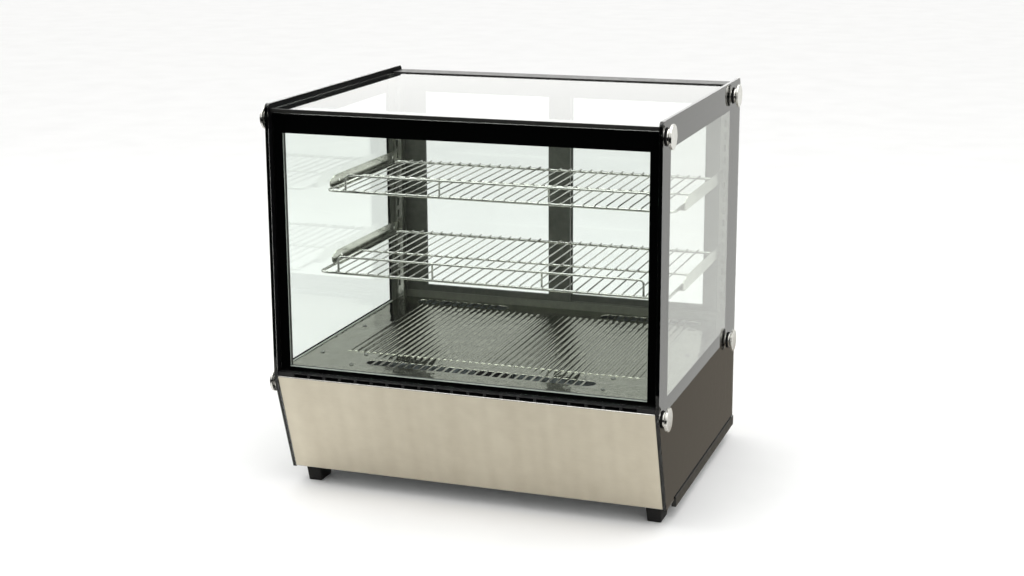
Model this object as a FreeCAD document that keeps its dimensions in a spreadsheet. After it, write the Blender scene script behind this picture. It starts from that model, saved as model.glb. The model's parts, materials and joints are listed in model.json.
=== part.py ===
import FreeCAD, Part
import math
import os
import re

import Sketcher

# Countertop display case for hot food.
# Four sides and the top are glass. Warm air is blown up through the deck by a fan and a
# tubular heater in the base, two wire shelves hang on slotted uprights, and two sliding
# doors close the serving side at the back.
# X runs to the customer's right, Y from the customer's side to the serving side, Z up.
# The origin is the middle of the footprint, on the counter. All sizes are in millimetres.

Vector = FreeCAD.Vector

# ---------------------------------------------------------------- driving sizes
SIZES = {
    # whole case
    "case_width": (678, "over the two side glasses"),
    "case_depth": (568, "front edge to rear edge of a side glass"),
    "case_height": (686, "counter to the top of a side glass"),
    "foot_height": (34, "counter to the underside of the base"),
    "knob_reach": (12, "how far a clamp knob stands out of the side glass"),
    # glass
    "glass_thickness": (6, "toughened glass"),
    "print_thickness": (0.4, "enamel printed on the inner face of the glass"),
    "glass_gap": (0.5, "joint between a glass edge and its neighbour"),
    "glass_corner": (8, "corner radius of a side glass"),
    "waist_height": (210, "where the front edge of a side glass starts to slope"),
    "toe_setback": (59, "how far the slope goes back at the bottom"),
    "window_bottom": (232, "lower edge of the clear window"),
    "top_print": (50, "printed band along the top of a side glass"),
    "front_print": (56, "printed band along the front of a side glass"),
    "rear_print": (80, "printed band along the rear of a side glass"),
    "front_recess": (12, "front glass behind the front edge of the side glass"),
    "front_glass_bottom": (224, "lower edge of the front glass"),
    "front_side_print": (17.5, "printed band up the sides of the front glass"),
    "front_top_print": (33, "printed band along the top of the front glass"),
    "top_drop": (10, "top glass below the top of the side glass"),
    "frame_depth": (12, "depth of the frame behind the front glass"),
    "frame_show": (1, "front frame set back from the edges of the print"),
    "trim_thickness": (3, "edge trim in front of the top glass"),
    "trim_rise": (0.8, "edge trim above the top glass"),
    # lamp
    "light_end": (40, "lamp housing in from the side glass"),
    "light_depth": (24, "front to back"),
    "light_height": (20, "lamp housing"),
    "light_gap": (1, "lamp housing under the top glass"),
    "light_wall": (1.5, "walls of the lamp housing"),
    "light_roof": (6, "solid top of the lamp housing"),
    "light_lens": (3, "clear cover under the lamp"),
    # clamp knobs
    "knob_radius": (20, "polished cap"),
    "knob_disc": (5, "thickness of the cap"),
    "knob_edge": (1.2, "chamfer round the cap"),
    "knob_neck": (13, "radius of the turned neck"),
    "stud_radius": (4, "stud through the glass"),
    "stud_hole_gap": (1, "play of the stud in its hole"),
    "washer_thickness": (1.5, "rubber washer between neck and glass"),
    "washer_rim": (1.5, "washer past the neck"),
    "knob_front_inset": (24, "front knobs behind the front edge"),
    "knob_rear_inset": (57, "rear knobs ahead of the rear edge"),
    "knob_top_drop": (26, "upper knobs below the top edge"),
    "knob_low_height": (203, "lower knobs above the counter"),
    # sheet metal
    "sheet_metal": (1.5, "stainless panels, deck and brackets"),
    "chassis_sheet": (2, "steel chassis and header"),
    "deck_height": (228, "upper face of the deck"),
    "panel_top": (216, "top of the sloping front panel"),
    "panel_flange": (16, "folded edges of the front panel"),
    "panel_room": (4, "chassis behind the face of the front panel"),
    # rear frame
    "header_depth": (46, "front to back"),
    "header_height": (42, "below the header's top"),
    "header_top_drop": (8, "header below the top of the side glass"),
    "post_face": (15, "rear face of a corner post"),
    "post_wing": (72, "wing of a corner post along the glass"),
    "post_bottom": (180, "lower end of a corner post"),
    "post_steel": (4, "thickness of a post's wing"),
    # sliding doors
    "door_thickness": (8, "door frame"),
    "door_clearance": (1, "running clearance beside a door"),
    "track_fin": (2, "fins of the door tracks"),
    "track_web": (4, "web of the door tracks"),
    "track_depth": (22, "height of the upper track"),
    "sill_height": (6, "height of the lower track under the doors"),
    "sill_fin": (8, "height of the fins above the lower track"),
    "stile_width": (43, "upright parts of a door frame"),
    "rail_width": (20, "level parts of a door frame"),
    "door_overlap": (21, "how far a door reaches past the middle"),
    "door_glass": (4, "thickness of the door glass"),
    "door_lift": (14, "how far a door's top sits inside its track"),
    "door_bite": (6, "door glass inside its frame"),
    "glide_length": (30, "nylon glides under a door"),
    "glide_thickness": (5, "nylon glides under a door"),
    "glide_height": (8, "a glide inside the door"),
    "glide_drop": (1.5, "a glide below the door, and the play over the track"),
    "pull_length": (90, "recessed finger pull"),
    "pull_width": (18, "recessed finger pull"),
    "pull_depth": (6, "recessed finger pull"),
    "pull_wall": (1.5, "walls of the finger pull"),
    "pull_floor": (1.2, "floor of the finger pull"),
    # shelf uprights and brackets
    "upright_width": (17, "slotted channel"),
    "upright_depth": (12, "slotted channel"),
    "upright_gap": (18, "uprights ahead of the door track"),
    "upright_top_gap": (4, "uprights below the top glass"),
    "slot_pitch": (23, "spacing of the bracket slots"),
    "slot_start": (29, "lowest bracket slot above the deck"),
    "slot_width": (4, "bracket slot"),
    "slot_height": (14, "bracket slot"),
    "bracket_reach": (304, "length of a bracket in front of its upright"),
    "bracket_height": (22, "web of a bracket"),
    "bracket_flange": (14, "flange that carries the shelf"),
    "bracket_hook": (5, "hook inside the upright"),
    "hook_rise": (4, "lower edge of a slot above the underside of its bracket"),
    "hook_play": (1, "play of a hook in its slot"),
    "bracket_nose": (6, "cut corners at the front of a bracket"),
    "bracket_step": (4, "step in the upper edge near the front"),
    "bracket_stop": (14, "where that step rises behind the front of a bracket"),
    "flange_gap": (10, "flange ahead of the upright"),
    "bracket_hole": (3, "radius of the round holes in a web"),
    "hole_front": (40, "front hole behind the front of a bracket"),
    "hole_rear": (24, "rear hole ahead of the upright"),
    "upper_slot": (11, "slot of the upper brackets, counted up from the lowest"),
    "lower_slot": (5, "slot of the lower brackets, counted up from the lowest"),
    # wire shelves
    "shelf_side_gap": (6, "between a bracket's web and the shelf"),
    "shelf_rear_gap": (23, "between the uprights and a shelf"),
    "upper_shelf_depth": (315, "front to back"),
    "lower_shelf_depth": (353, "front to back"),
    "frame_wire": (5, "wire round a shelf"),
    "middle_wire": (4, "wire along the middle of a shelf"),
    "cross_wire": (2.6, "wires across a shelf"),
    "cross_pitch": (20, "spacing of the cross wires"),
    "shelf_corner": (12, "bend of the frame wire"),
    "wire_overhang": (3, "cross wires past the rear frame wire"),
    "wire_sink": (0.5, "depth of a weld between two wires"),
    "guard_wire": (4, "wire of the guard rail"),
    "guard_post_wire": (3.2, "inner posts of the guard rail"),
    "guard_bend": (7, "bends of the guard rail"),
    "guard_height": (29, "guard rail above the shelf"),
    "guard_inset": (38, "guard rail in from the end of a shelf"),
    "guard_post": (99, "inner posts of the guard rail from the middle"),
    # deck
    "deck_gap": (2, "seal between the deck and a side glass"),
    "rib_pitch": (12, "spacing of the pressed ribs"),
    "rib_height": (1.5, "pressed ribs"),
    "rib_width": (8.4, "pressed ribs"),
    "rib_side": (58, "plain deck beside the ribs"),
    "rib_front": (149, "plain deck ahead of the ribs"),
    "rib_rear": (84, "plain deck behind the ribs"),
    "vent_pitch": (14.5, "spacing of the bars in a grille"),
    "vent_bar": (3.6, "width of a bar in a grille"),
    "vent_length": (30, "width of a grille, front to back"),
    "vent_front": (96, "middle of the front grille behind the front edge"),
    "vent_rear": (56, "middle of the rear grilles ahead of the rear edge"),
    "vent_side": (147, "round end of the front grille in from the side of the case"),
    "vent_rear_side": (72, "round ends of the rear grilles in from the side of the case"),
    "vent_rear_middle": (108, "round ends of the rear grilles from the middle of the case"),
    "vent_root": (1, "bars of a grille past its edge"),
    "deck_screw_side": (27, "outer screws in from the inner face of the side glass"),
    "deck_screw_front": (126, "front outer screws behind the front edge"),
    "deck_screw_rear": (308, "rear outer screws behind the front edge"),
    "vent_screw_side": (113, "screws by the front grille in from the side of the case"),
    "vent_screw_front": (72, "screws ahead of the front grille behind the front edge"),
    "vent_screw_rear": (135, "screws behind the front grille behind the front edge"),
    "screw_head": (4, "radius of a screw head"),
    "screw_head_height": (2.2, "height of a screw head"),
    "screw_shank": (1.75, "radius of a screw shank"),
    "screw_length": (8, "below the head"),
    # ventilated strip under the front glass
    "strip_inset": (2, "strip behind the front edge"),
    "strip_depth": (18, "front to back"),
    "strip_pitch": (29, "spacing of the strip's slots"),
    "strip_slot": (24, "length of a slot"),
    "strip_plain": (30, "plain strip at each end"),
    "strip_edge": (1.2, "strip above and below a slot"),
    # feet
    "foot_width": (28, "top of a foot"),
    "foot_length": (54, "top of a foot"),
    "foot_toe": (40, "length of a foot on the counter"),
    "foot_sole": (24, "width of a foot on the counter"),
    "foot_side_inset": (28, "middle of a foot in from the side"),
    "foot_front_inset": (108, "middle of a front foot behind the front edge"),
    "foot_rear_inset": (62, "middle of a rear foot ahead of the rear edge"),
    "rail_reach": (116, "side rails start behind the front edge"),
    "rail_drop": (14, "side rails below the chassis"),
    "rail_lip": (4, "side rails up over the glass edge"),
    "rail_proud": (2, "side rails out of the side glass"),
    # warm air duct
    "duct_bottom": (158, "underside of the air duct"),
    "duct_side": (36, "duct in from the side of the case"),
    "duct_front": (76, "duct behind the front edge"),
    "duct_rear": (34, "duct ahead of the rear edge"),
    "fan_wall": (180, "wall that carries the fan behind the front edge"),
    "heater_rise": (24, "heating tube above the duct's underside"),
    "heater_gap": (60, "first run of the heating tube behind the fan wall"),
    "heater_tube": (8, "sheathed heating tube"),
    "heater_legs": (6, "straight runs of the heating tube"),
    "heater_leg_pitch": (26, "spacing of the runs"),
    "heater_leg_length": (300, "length of a run"),
    "heater_tail": (60, "straight ends of the tube past the runs"),
    "heater_rest_place": (90, "middle of a rest from the middle of the case"),
    "heater_rest_width": (12, "rests under the tube"),
    "heater_rest_end": (10, "rests past the first and last run"),
    "duct_gap": (2, "fan wall below the deck"),
    "fan_gap": (2, "fan above the duct's floor"),
    "fan_rim": (2, "housing round the fan's bore"),
    "fan_motor": (12, "radius of the fan's motor"),
    "fan_motor_depth": (6, "fan's motor"),
    "fan_strut": (4, "width of the struts that carry the motor"),
    "fan_strut_depth": (3, "struts that carry the motor"),
    "fan_strut_gap": (1, "ends of the struts inside the housing"),
    "fan_pin": (2, "radius of the pin the rotor turns on"),
    "fan_pin_length": (8, "pin in front of the motor"),
    "fan_pin_play": (0.05, "play of the rotor on its pin"),
    "rotor_inset": (8, "rotor behind the front of the housing"),
    "rotor_depth": (15, "front to back"),
    "blade_thickness": (1.4, "blades of the rotor"),
    "fan_size": (60, "square fan housing"),
    "fan_depth": (25, "fan housing"),
    "fan_hub": (14, "radius of the rotor hub"),
    "fan_tip_gap": (1.5, "between a blade tip and the housing"),
    "fan_blade_count": (7, "blades of the rotor"),
    # rear panel and controls
    "rear_panel_inset": (24, "rear panel ahead of the rear edge"),
    "control_x": (-200, "middle of the controller"),
    "control_height": (122, "middle of the controls above the counter"),
    "control_width": (76, "controller face"),
    "control_face": (34, "height of the controller face"),
    "control_rim": (3, "controls over the edges of their openings"),
    "bezel_depth": (4, "controller's bezel out of the panel"),
    "bezel_rim": (3.5, "bezel past the body of the controller"),
    "window_edge": (5, "window in from the end of the bezel"),
    "window_end": (2, "window past the middle of the controller"),
    "window_rim": (6, "window in from the upper and lower edges"),
    "window_thickness": (1.5, "window of the controller"),
    "button_radius": (3.5, "push buttons"),
    "button_gap": (0.4, "play round a button"),
    "button_inset": (7.5, "first button from the middle of the controller"),
    "button_pitch": (11, "spacing of the buttons"),
    "button_depth": (4.8, "length of a button"),
    "button_proud": (1.4, "a button out of the bezel"),
    "rocker_width": (13, "rocker of a switch"),
    "rocker_length": (21, "rocker of a switch"),
    "rocker_gap": (0.8, "play round a rocker"),
    "rocker_tilt": (9, "degrees to each side"),
    "rocker_depth": (2.5, "pivot of a rocker behind the panel's face"),
    "rocker_pin": (1.5, "radius of a rocker's pivot pin"),
    "rocker_pin_reach": (1.8, "pivot pin past the side of a rocker"),
    "switch_rim": (4, "rim of a switch round its rocker"),
    "switch_wall": (2.8, "outside of a switch body round its rocker"),
    "switch_proud": (2, "rim of a switch out of the panel"),
    "switch_well": (10, "depth of the well round a rocker"),
    "rocker_pin_play": (0.1, "play of a pin round its socket"),
    "rocker_pin_end": (0.2, "play at the end of a pin"),
    "rocker_back": (2.2, "back of a rocker behind its pivot"),
    "rocker_tip": (3.8, "ends of a rocker in front of its pivot"),
    "rocker_dip": (2.6, "middle of a rocker in front of its pivot"),
    "rocker_short": (0.3, "ends of a rocker inside its length"),
    "rocker_taper": (0.8, "back of a rocker shorter than its face"),
    "rocker_pitch": (34, "spacing of the two switches"),
    "rocker_inset": (32, "middle of the first switch beside the controller"),
    "gland_bore": (4.2, "radius of the cord's hole in the gland"),
    "gland_wall": (3.8, "stem of the gland round its hole"),
    "gland_play": (0.2, "play of the stem in the panel"),
    "gland_stem": (12, "stem behind the panel"),
    "gland_flange": (7, "flange round the hole"),
    "gland_step": (4, "thickness of the flange"),
    "gland_dome": (4.5, "dome round the hole"),
    "gland_reach": (16, "gland out of the panel"),
    "gland_nut": (7.5, "nut round the hole"),
    "gland_nut_depth": (5, "nut behind the panel"),
    "gland_x": (270, "cord gland from the middle"),
    "gland_height": (70, "cord gland above the counter"),
    "louvre_rows": (9, "rows of air slots in the rear panel"),
    "louvre_pitch": (11, "spacing of the rows"),
    "louvre_low": (96, "lowest row above the counter"),
    "louvre_slot": (4, "height of an air slot"),
    "louvre_length": (60, "length of an air slot"),
    "louvre_start": (40, "first slot of a row from the middle"),
    "louvre_step": (72, "spacing of the slots along a row"),
    "rear_screw_side": (14, "screws in from the ends of the rear panel"),
    "rear_screw_low": (16, "lower screws above the chassis floor"),
    "rear_screw_top": (20, "upper screws below the deck"),
    "controller_depth": (50, "controller behind the rear panel"),
    "switch_depth": (20, "switches behind the rear panel"),
    "terminal_x": (235, "middle of the terminal block"),
    "terminal_pitch": (14, "spacing of the poles"),
    "terminal_inset": (128, "terminal block ahead of the rear edge"),
    "terminal_depth": (22, "front to back"),
    "terminal_height": (16, "terminal block"),
    "terminal_hole": (2.2, "radius of the wire holes"),
    "driver_left": (-60, "left end of the lamp driver"),
    "driver_right": (50, "right end of the lamp driver"),
    "driver_gap": (12, "lamp driver ahead of the rear of the terminal block"),
    "driver_depth": (40, "front to back"),
    "driver_height": (24, "lamp driver"),
    "probe_radius": (3, "bulb of the air probe"),
    "probe_length": (40, "bulb of the air probe"),
    "probe_x": (-120, "middle of the air probe"),
    "probe_inset": (120, "air probe behind the front edge"),
    "probe_rise": (30, "air probe above the underside of the duct"),
    "clip_width": (8, "clip under the probe"),
    "clip_depth": (4, "clip under the probe"),
    "wire_bend": (7, "bends of the wires"),
    "lane_start": (16, "first wire behind the terminal block"),
    "lane_pitch": (8, "spacing of the wires"),
    "heater_lead": (100, "where the heater's wires rise to the duct"),
    "fan_lead": (150, "where the fan's wires rise to the duct"),
    "wire_radius": (1.8, "insulated wires in the base"),
}

doc = FreeCAD.newDocument("hot_food_display_case")
sheet = doc.addObject("Spreadsheet::Sheet", "sizes")
for row, (alias, (amount, meaning)) in enumerate(SIZES.items(), start=1):
    sheet.set(f"A{row}", alias)
    sheet.set(f"B{row}", str(amount))
    sheet.set(f"C{row}", meaning)
    sheet.setAlias(f"B{row}", alias)
doc.recompute()


def linked(text):
    """An expression with every size in it pointed at the sheet."""
    def point_at_sheet(word):
        return f"sizes.{word[0]}" if word[0] in SIZES else word[0]

    return re.sub(r"[a-z_]+", point_at_sheet, str(text))


def number(text):
    """The present value of an expression."""
    return float(sheet.evalExpression(linked(text)))


# Places that many pieces share, as expressions.
FRONT = "(-case_depth / 2)"
BACK = "(case_depth / 2)"
SIDE = "(case_width / 2)"
INNER = "(case_width / 2 - glass_thickness)"
FIT = f"({INNER} - glass_gap)"
GLASS_FRONT = f"({FRONT} + front_recess)"
GLASS_BACK = f"({GLASS_FRONT} + glass_thickness)"
TOP_GLASS = "(case_height - top_drop)"
TOP_GLASS_LOW = "(case_height - top_drop - glass_thickness)"
FRONT_GLASS_TOP = f"({TOP_GLASS_LOW} - glass_gap * 2)"
HEADER_TOP = "(case_height - header_top_drop)"
HEADER_LOW = f"({HEADER_TOP} - header_height)"
HEADER_FRONT = f"({BACK} - header_depth)"
DECK_LOW = "(deck_height - sheet_metal)"
CHASSIS_LOW = "foot_height"
LANE = "(door_thickness + door_clearance * 2)"
TRACK_BACK = f"({BACK} - chassis_sheet)"
TRACK_FRONT = f"({TRACK_BACK} - track_fin * 3 - {LANE} * 2)"
DOOR_LOW = "(deck_height + sill_height)"
DOOR_TOP = f"({HEADER_TOP} - chassis_sheet - track_web - track_depth + door_lift)"
DOOR_EDGE = f"({INNER} - post_face - glass_gap)"
UPRIGHT_OUT = f"({INNER} - post_steel)"
UPRIGHT_IN = f"({UPRIGHT_OUT} - upright_width)"
UPRIGHT_BACK = f"({TRACK_FRONT} - upright_gap)"
UPRIGHT_FRONT = f"({UPRIGHT_BACK} - upright_depth)"
UPPER_BRACKET = "(deck_height + slot_start + slot_pitch * upper_slot - hook_rise)"
LOWER_BRACKET = "(deck_height + slot_start + slot_pitch * lower_slot - hook_rise)"
REAR_PANEL = f"({BACK} - rear_panel_inset)"
FLOOR = f"({CHASSIS_LOW} + chassis_sheet)"
FAN_BACK = f"({FRONT} + fan_wall)"
FAN_MIDDLE = "(duct_bottom + sheet_metal + fan_gap + fan_size / 2)"
FAN_BORE = "(fan_size / 2 - fan_rim)"
PAST = 2  # how far a cutting tool goes past what it cuts


# ---------------------------------------------------------------- helpers
def place(piece, x, y, z):
    """Binds a piece's position to expressions."""
    for axis, text in zip("xyz", (x, y, z)):
        piece.setExpression(f"Placement.Base.{axis}", linked(text))


def block(name, x, y, z):
    """A box between a low and a high expression along each axis."""
    solid = doc.addObject("Part::Box", name)
    for length, (low, high) in zip(("Length", "Width", "Height"), (x, y, z)):
        solid.setExpression(length, linked(f"({high}) - ({low})"))
    place(solid, x[0], y[0], z[0])
    return solid


TURN = {
    "x": FreeCAD.Rotation(Vector(0, 1, 0), 90),
    "y": FreeCAD.Rotation(Vector(1, 0, 0), -90),
    "z": FreeCAD.Rotation(),
}


def rod(name, axis, radius, low, high, first, second):
    """A cylinder along an axis from low to high, centred at first and second on the other two."""
    solid = doc.addObject("Part::Cylinder", name)
    solid.setExpression("Radius", linked(radius))
    solid.setExpression("Height", linked(f"({high}) - ({low})"))
    solid.Placement = FreeCAD.Placement(Vector(), TURN[axis])
    centre = {"x": (low, first, second), "y": (first, low, second), "z": (first, second, low)}[axis]
    place(solid, *centre)
    return solid


def fuse(name, solids):
    joined = doc.addObject("Part::MultiFuse", name)
    joined.Shapes = solids
    joined.Refine = True
    return joined


def around(middle, half):
    """A low and a high expression at equal distances from a middle."""
    return (f"{middle} - ({half})", f"{middle} + ({half})")


def cut(name, solid, tools):
    """solid with every tool taken away."""
    tool = tools[0]
    if len(tools) > 1:
        tool = group(f"{name}_tools", tools)
    result = doc.addObject("Part::Cut", name)
    result.Base = solid
    result.Tool = tool
    return result


def group(name, solids):
    """Several separate solids kept as one piece."""
    together = doc.addObject("Part::Compound", name)
    together.Links = solids
    return together


def made(name, shape):
    """A piece whose shape is worked out here."""
    feature = doc.addObject("Part::Feature", name)
    feature.Shape = shape
    return feature


def new_body(name):
    return doc.addObject("PartDesign::Body", name)


def sketch_on(body, role, offset="0"):
    """An empty sketch on one of the body's own origin planes, moved along its normal."""
    sketch = body.newObject("Sketcher::SketchObject", f"{body.Name}_sketch")
    plane = next(p for p in body.Origin.OriginFeatures if p.Role == role)
    sketch.AttachmentSupport = [(plane, "")]
    sketch.MapMode = "FlatFace"
    sketch.setExpression("AttachmentOffset.Base.z", linked(offset))
    return sketch


def hold(sketch, kind, text, *where):
    """A dimension bound to an expression."""
    index = sketch.addConstraint(Sketcher.Constraint(kind, *where, 1.0))
    label = f"held_{index}"
    sketch.renameConstraint(index, label)
    sketch.setExpression(f"Constraints.{label}", linked(text))


def polygon(sketch, points):
    """A closed outline of straight sides through (across, up) expressions."""
    count = len(points)
    first = sketch.GeometryCount
    turns = [math.tau * i / count for i in range(count)]
    start = [Vector(math.cos(turn), math.sin(turn)) * 100 for turn in turns]
    for i in range(count):
        sketch.addGeometry(Part.LineSegment(start[i], start[(i + 1) % count]), False)
    for i in range(count):
        sketch.addConstraint(Sketcher.Constraint("Coincident", first + i, 2, first + (i + 1) % count, 1))
    for i, (across, up) in enumerate(points):
        hold(sketch, "DistanceX", across, -1, 1, first + i, 1)
        hold(sketch, "DistanceY", up, -1, 1, first + i, 1)


def circle(sketch, across, up, radius):
    index = sketch.addGeometry(Part.Circle(Vector(10, 10, 0), Vector(0, 0, 1), 5), False)
    hold(sketch, "DistanceX", across, -1, 1, index, 3)
    hold(sketch, "DistanceY", up, -1, 1, index, 3)
    hold(sketch, "Radius", radius, index)


def oblong(across, up):
    """Corners of a rectangle between two (low, high) pairs."""
    return [(across[0], up[0]), (across[1], up[0]), (across[1], up[1]), (across[0], up[1])]


def pad(body, sketch, length, backwards=False):
    feature = body.newObject("PartDesign::Pad", f"{body.Name}_pad")
    feature.Profile = sketch
    feature.setExpression("Length", linked(length))
    feature.Reversed = backwards
    return feature


def pocket(body, sketch, length, backwards=False):
    feature = body.newObject("PartDesign::Pocket", f"{body.Name}_pocket")
    feature.Profile = sketch
    feature.setExpression("Length", linked(length))
    feature.Reversed = backwards
    return feature


def repeat(body, feature, sketch, axis, step, count):
    """A row of one feature, along the sketch's H_Axis or V_Axis."""
    row = body.newObject("PartDesign::LinearPattern", f"{body.Name}_row")
    row.Originals = [feature]
    row.Direction = (sketch, [axis])
    row.Mode = "Spacing"
    row.setExpression("Offset", linked(step))
    row.setExpression("Occurrences", linked(count))
    body.Tip = row
    return row


def prism(name, role, low, high, outlines):
    """A body padded along the plane's own axis, from low to high. The XZ plane faces -Y."""
    body = new_body(name)
    backwards = role == "XZ_Plane"
    sketch = sketch_on(body, role, f"-({low})" if backwards else low)
    for outline in outlines:
        polygon(sketch, outline)
    pad(body, sketch, f"({high}) - ({low})", backwards)
    return body


def round_corners(body, radius, chosen):
    """Rounds the straight edges along X whose middle is chosen."""
    doc.recompute()
    base = body.Tip
    edges = []
    for index, edge in enumerate(base.Shape.Edges, start=1):
        along = edge.Vertexes[-1].Point - edge.Vertexes[0].Point
        if abs(along.x) > 0.99 * edge.Length and chosen(edge.CenterOfMass):
            edges.append(f"Edge{index}")
    feature = body.newObject("PartDesign::Fillet", f"{body.Name}_round")
    feature.Base = (base, edges)
    feature.setExpression("Radius", linked(radius))
    return feature


def mirrored(text, sign):
    """The (low, high) pair on the right, or its mirror image on the left."""
    low, high = text
    return (low, high) if sign > 0 else (f"-({high})", f"-({low})")


HANDS = (("left", -1), ("right", 1))


# ---------------------------------------------------------------- glass
KNOBS = [
    (f"({FRONT} + knob_front_inset)", "(case_height - knob_top_drop)"),
    (f"({FRONT} + knob_front_inset)", "knob_low_height"),
    (f"({BACK} - knob_rear_inset)", "(case_height - knob_top_drop)"),
    (f"({BACK} - knob_rear_inset)", "knob_low_height"),
]
SIDE_OUTLINE = [
    (FRONT, "waist_height"),
    (f"{FRONT} + toe_setback", CHASSIS_LOW),
    (BACK, CHASSIS_LOW),
    (BACK, "case_height"),
    (FRONT, "case_height"),
]


def off_the_waist(point):
    """True for the corners that are rounded: all but the waist and the toe."""
    return point.z > number("waist_height") + 1 or point.y > 0


def side_glass(hand, sign):
    """Full-height panel with a sloping toe, rounded corners and four stud holes."""
    low, high = mirrored((INNER, SIDE), sign)
    body = prism(f"{hand}_side_glass", "YZ_Plane", low, high, [SIDE_OUTLINE])
    round_corners(body, "glass_corner", off_the_waist)
    holes = sketch_on(body, "YZ_Plane", high)
    for along, up in KNOBS:
        circle(holes, along, up, "stud_radius + stud_hole_gap")
    pocket(body, holes, "glass_thickness")
    return body


def side_print(hand, sign):
    """Black enamel round the clear window, all the way down the base."""
    low, high = mirrored((f"{INNER} - print_thickness", INNER), sign)
    edge = "glass_gap"
    outer = [
        (f"{FRONT} + {edge}", "waist_height"),
        (f"{FRONT} + toe_setback + {edge}", f"{CHASSIS_LOW} + {edge}"),
        (f"{BACK} - {edge}", f"{CHASSIS_LOW} + {edge}"),
        (f"{BACK} - {edge}", f"case_height - {edge}"),
        (f"{FRONT} + {edge}", f"case_height - {edge}"),
    ]
    body = prism(f"{hand}_side_print", "YZ_Plane", low, high, [outer])
    round_corners(body, "glass_corner", off_the_waist)
    window = sketch_on(body, "YZ_Plane", high)
    polygon(window, oblong((f"{FRONT} + front_print", f"{BACK} - rear_print"),
                           ("window_bottom", "case_height - top_print")))
    for along, up in KNOBS:
        circle(window, along, up, "stud_radius + stud_hole_gap")
    pocket(body, window, "print_thickness")
    return body


def clamp_knobs():
    """Polished caps on turned necks. Each has a stud through the glass into the frame."""
    knobs = []
    washers = []
    for hand, sign in HANDS:
        for order, (along, up) in enumerate(KNOBS):
            name = f"{hand}_knob_{order}"
            cap_low = f"{SIDE} + knob_reach - knob_disc"
            neck_low = f"{SIDE} + washer_thickness"
            disc = mirrored((cap_low, f"{SIDE} + knob_reach"), sign)
            neck = mirrored((neck_low, cap_low), sign)
            stud = mirrored((f"{INNER} - print_thickness", neck_low), sign)
            ring = mirrored((SIDE, neck_low), sign)
            cap = rod(f"{name}_cap", "x", "knob_radius", *disc, along, up)
            rounded = doc.addObject("Part::Chamfer", f"{name}_edge")
            rounded.Base = cap
            doc.recompute()
            rounded.Edges = [
                (index, number("knob_edge"), number("knob_edge"))
                for index, edge in enumerate(cap.Shape.Edges, start=1)
                if isinstance(edge.Curve, Part.Circle)
            ]
            knobs.append(fuse(name, [
                rounded,
                rod(f"{name}_neck", "x", "knob_neck", *neck, along, up),
                rod(f"{name}_stud", "x", "stud_radius", *stud, along, up),
            ]))
            rubber = rod(f"{name}_washer_disc", "x", "knob_neck + washer_rim", *ring, along, up)
            hole = rod(f"{name}_washer_hole", "x", "stud_radius", *ring, along, up)
            washers.append(cut(f"{name}_washer", rubber, [hole]))
    return group("clamp_knobs", knobs), group("knob_washers", washers)


def front_glass():
    return prism("front_glass", "XZ_Plane", GLASS_FRONT, GLASS_BACK,
                 [oblong((f"-{FIT}", FIT), ("front_glass_bottom", FRONT_GLASS_TOP))])


def front_print():
    """Enamel on the back of the front glass, round the clear window."""
    outer = oblong((f"-{FIT}", FIT), ("front_glass_bottom", FRONT_GLASS_TOP))
    window = oblong((f"-{FIT} + front_side_print", f"{FIT} - front_side_print"),
                    ("window_bottom", f"{FRONT_GLASS_TOP} - front_top_print"))
    return prism("front_print", "XZ_Plane", GLASS_BACK, f"{GLASS_BACK} + print_thickness", [outer, window])


def front_frame():
    """Two side bars, a top bar and a bottom bar behind the printed edges of the front glass."""
    depth = (f"{GLASS_BACK} + print_thickness", f"{GLASS_BACK} + frame_depth")
    bars = []
    inside = f"({INNER} - print_thickness)"
    low, high = "deck_height", FRONT_GLASS_TOP
    for hand, sign in HANDS:
        side = mirrored((f"{inside} - front_side_print + frame_show", inside), sign)
        bars.append(block(f"front_frame_{hand}", side, depth, (low, high)))
    reach = f"({inside} - front_side_print + frame_show)"
    across = (f"-{reach}", reach)
    bars.append(block("front_frame_top", across, depth, (f"{high} - front_top_print + frame_show", high)))
    bars.append(block("front_frame_bottom", across, depth, (low, "window_bottom")))
    return group("front_frame", bars)


def top_glass():
    return block("top_glass", (f"-{FIT}", FIT), (GLASS_FRONT, HEADER_FRONT), (TOP_GLASS_LOW, TOP_GLASS))


def top_front_trim():
    """Angle that covers the front edge of the top glass."""
    edge = (f"{GLASS_FRONT} - trim_thickness", GLASS_FRONT)
    return block("top_front_trim", (f"-{FIT}", FIT), edge,
                 (f"{TOP_GLASS_LOW} + glass_gap", f"{TOP_GLASS} + trim_rise"))


def light():
    """Lamp housing behind the printed top band, with a clear cover under it."""
    end = f"({INNER} - light_end)"
    front = f"({GLASS_BACK} + frame_depth)"
    back = f"({front} + light_depth)"
    top = f"({TOP_GLASS_LOW} - light_gap)"
    low = f"({top} - light_height)"
    shell = block("light_shell", (f"-{end}", end), (front, back), (low, top))
    wide = (f"-{end} + light_wall", f"{end} - light_wall")
    deep = (f"{front} + light_wall", f"{back} - light_wall")
    hollow = block("light_hollow", wide, deep, (low, f"{top} - light_roof"))
    housing = cut("light_housing", shell, [hollow])
    cover = block("light_cover", wide, deep, (low, f"{low} + light_lens"))
    return housing, cover


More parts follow.
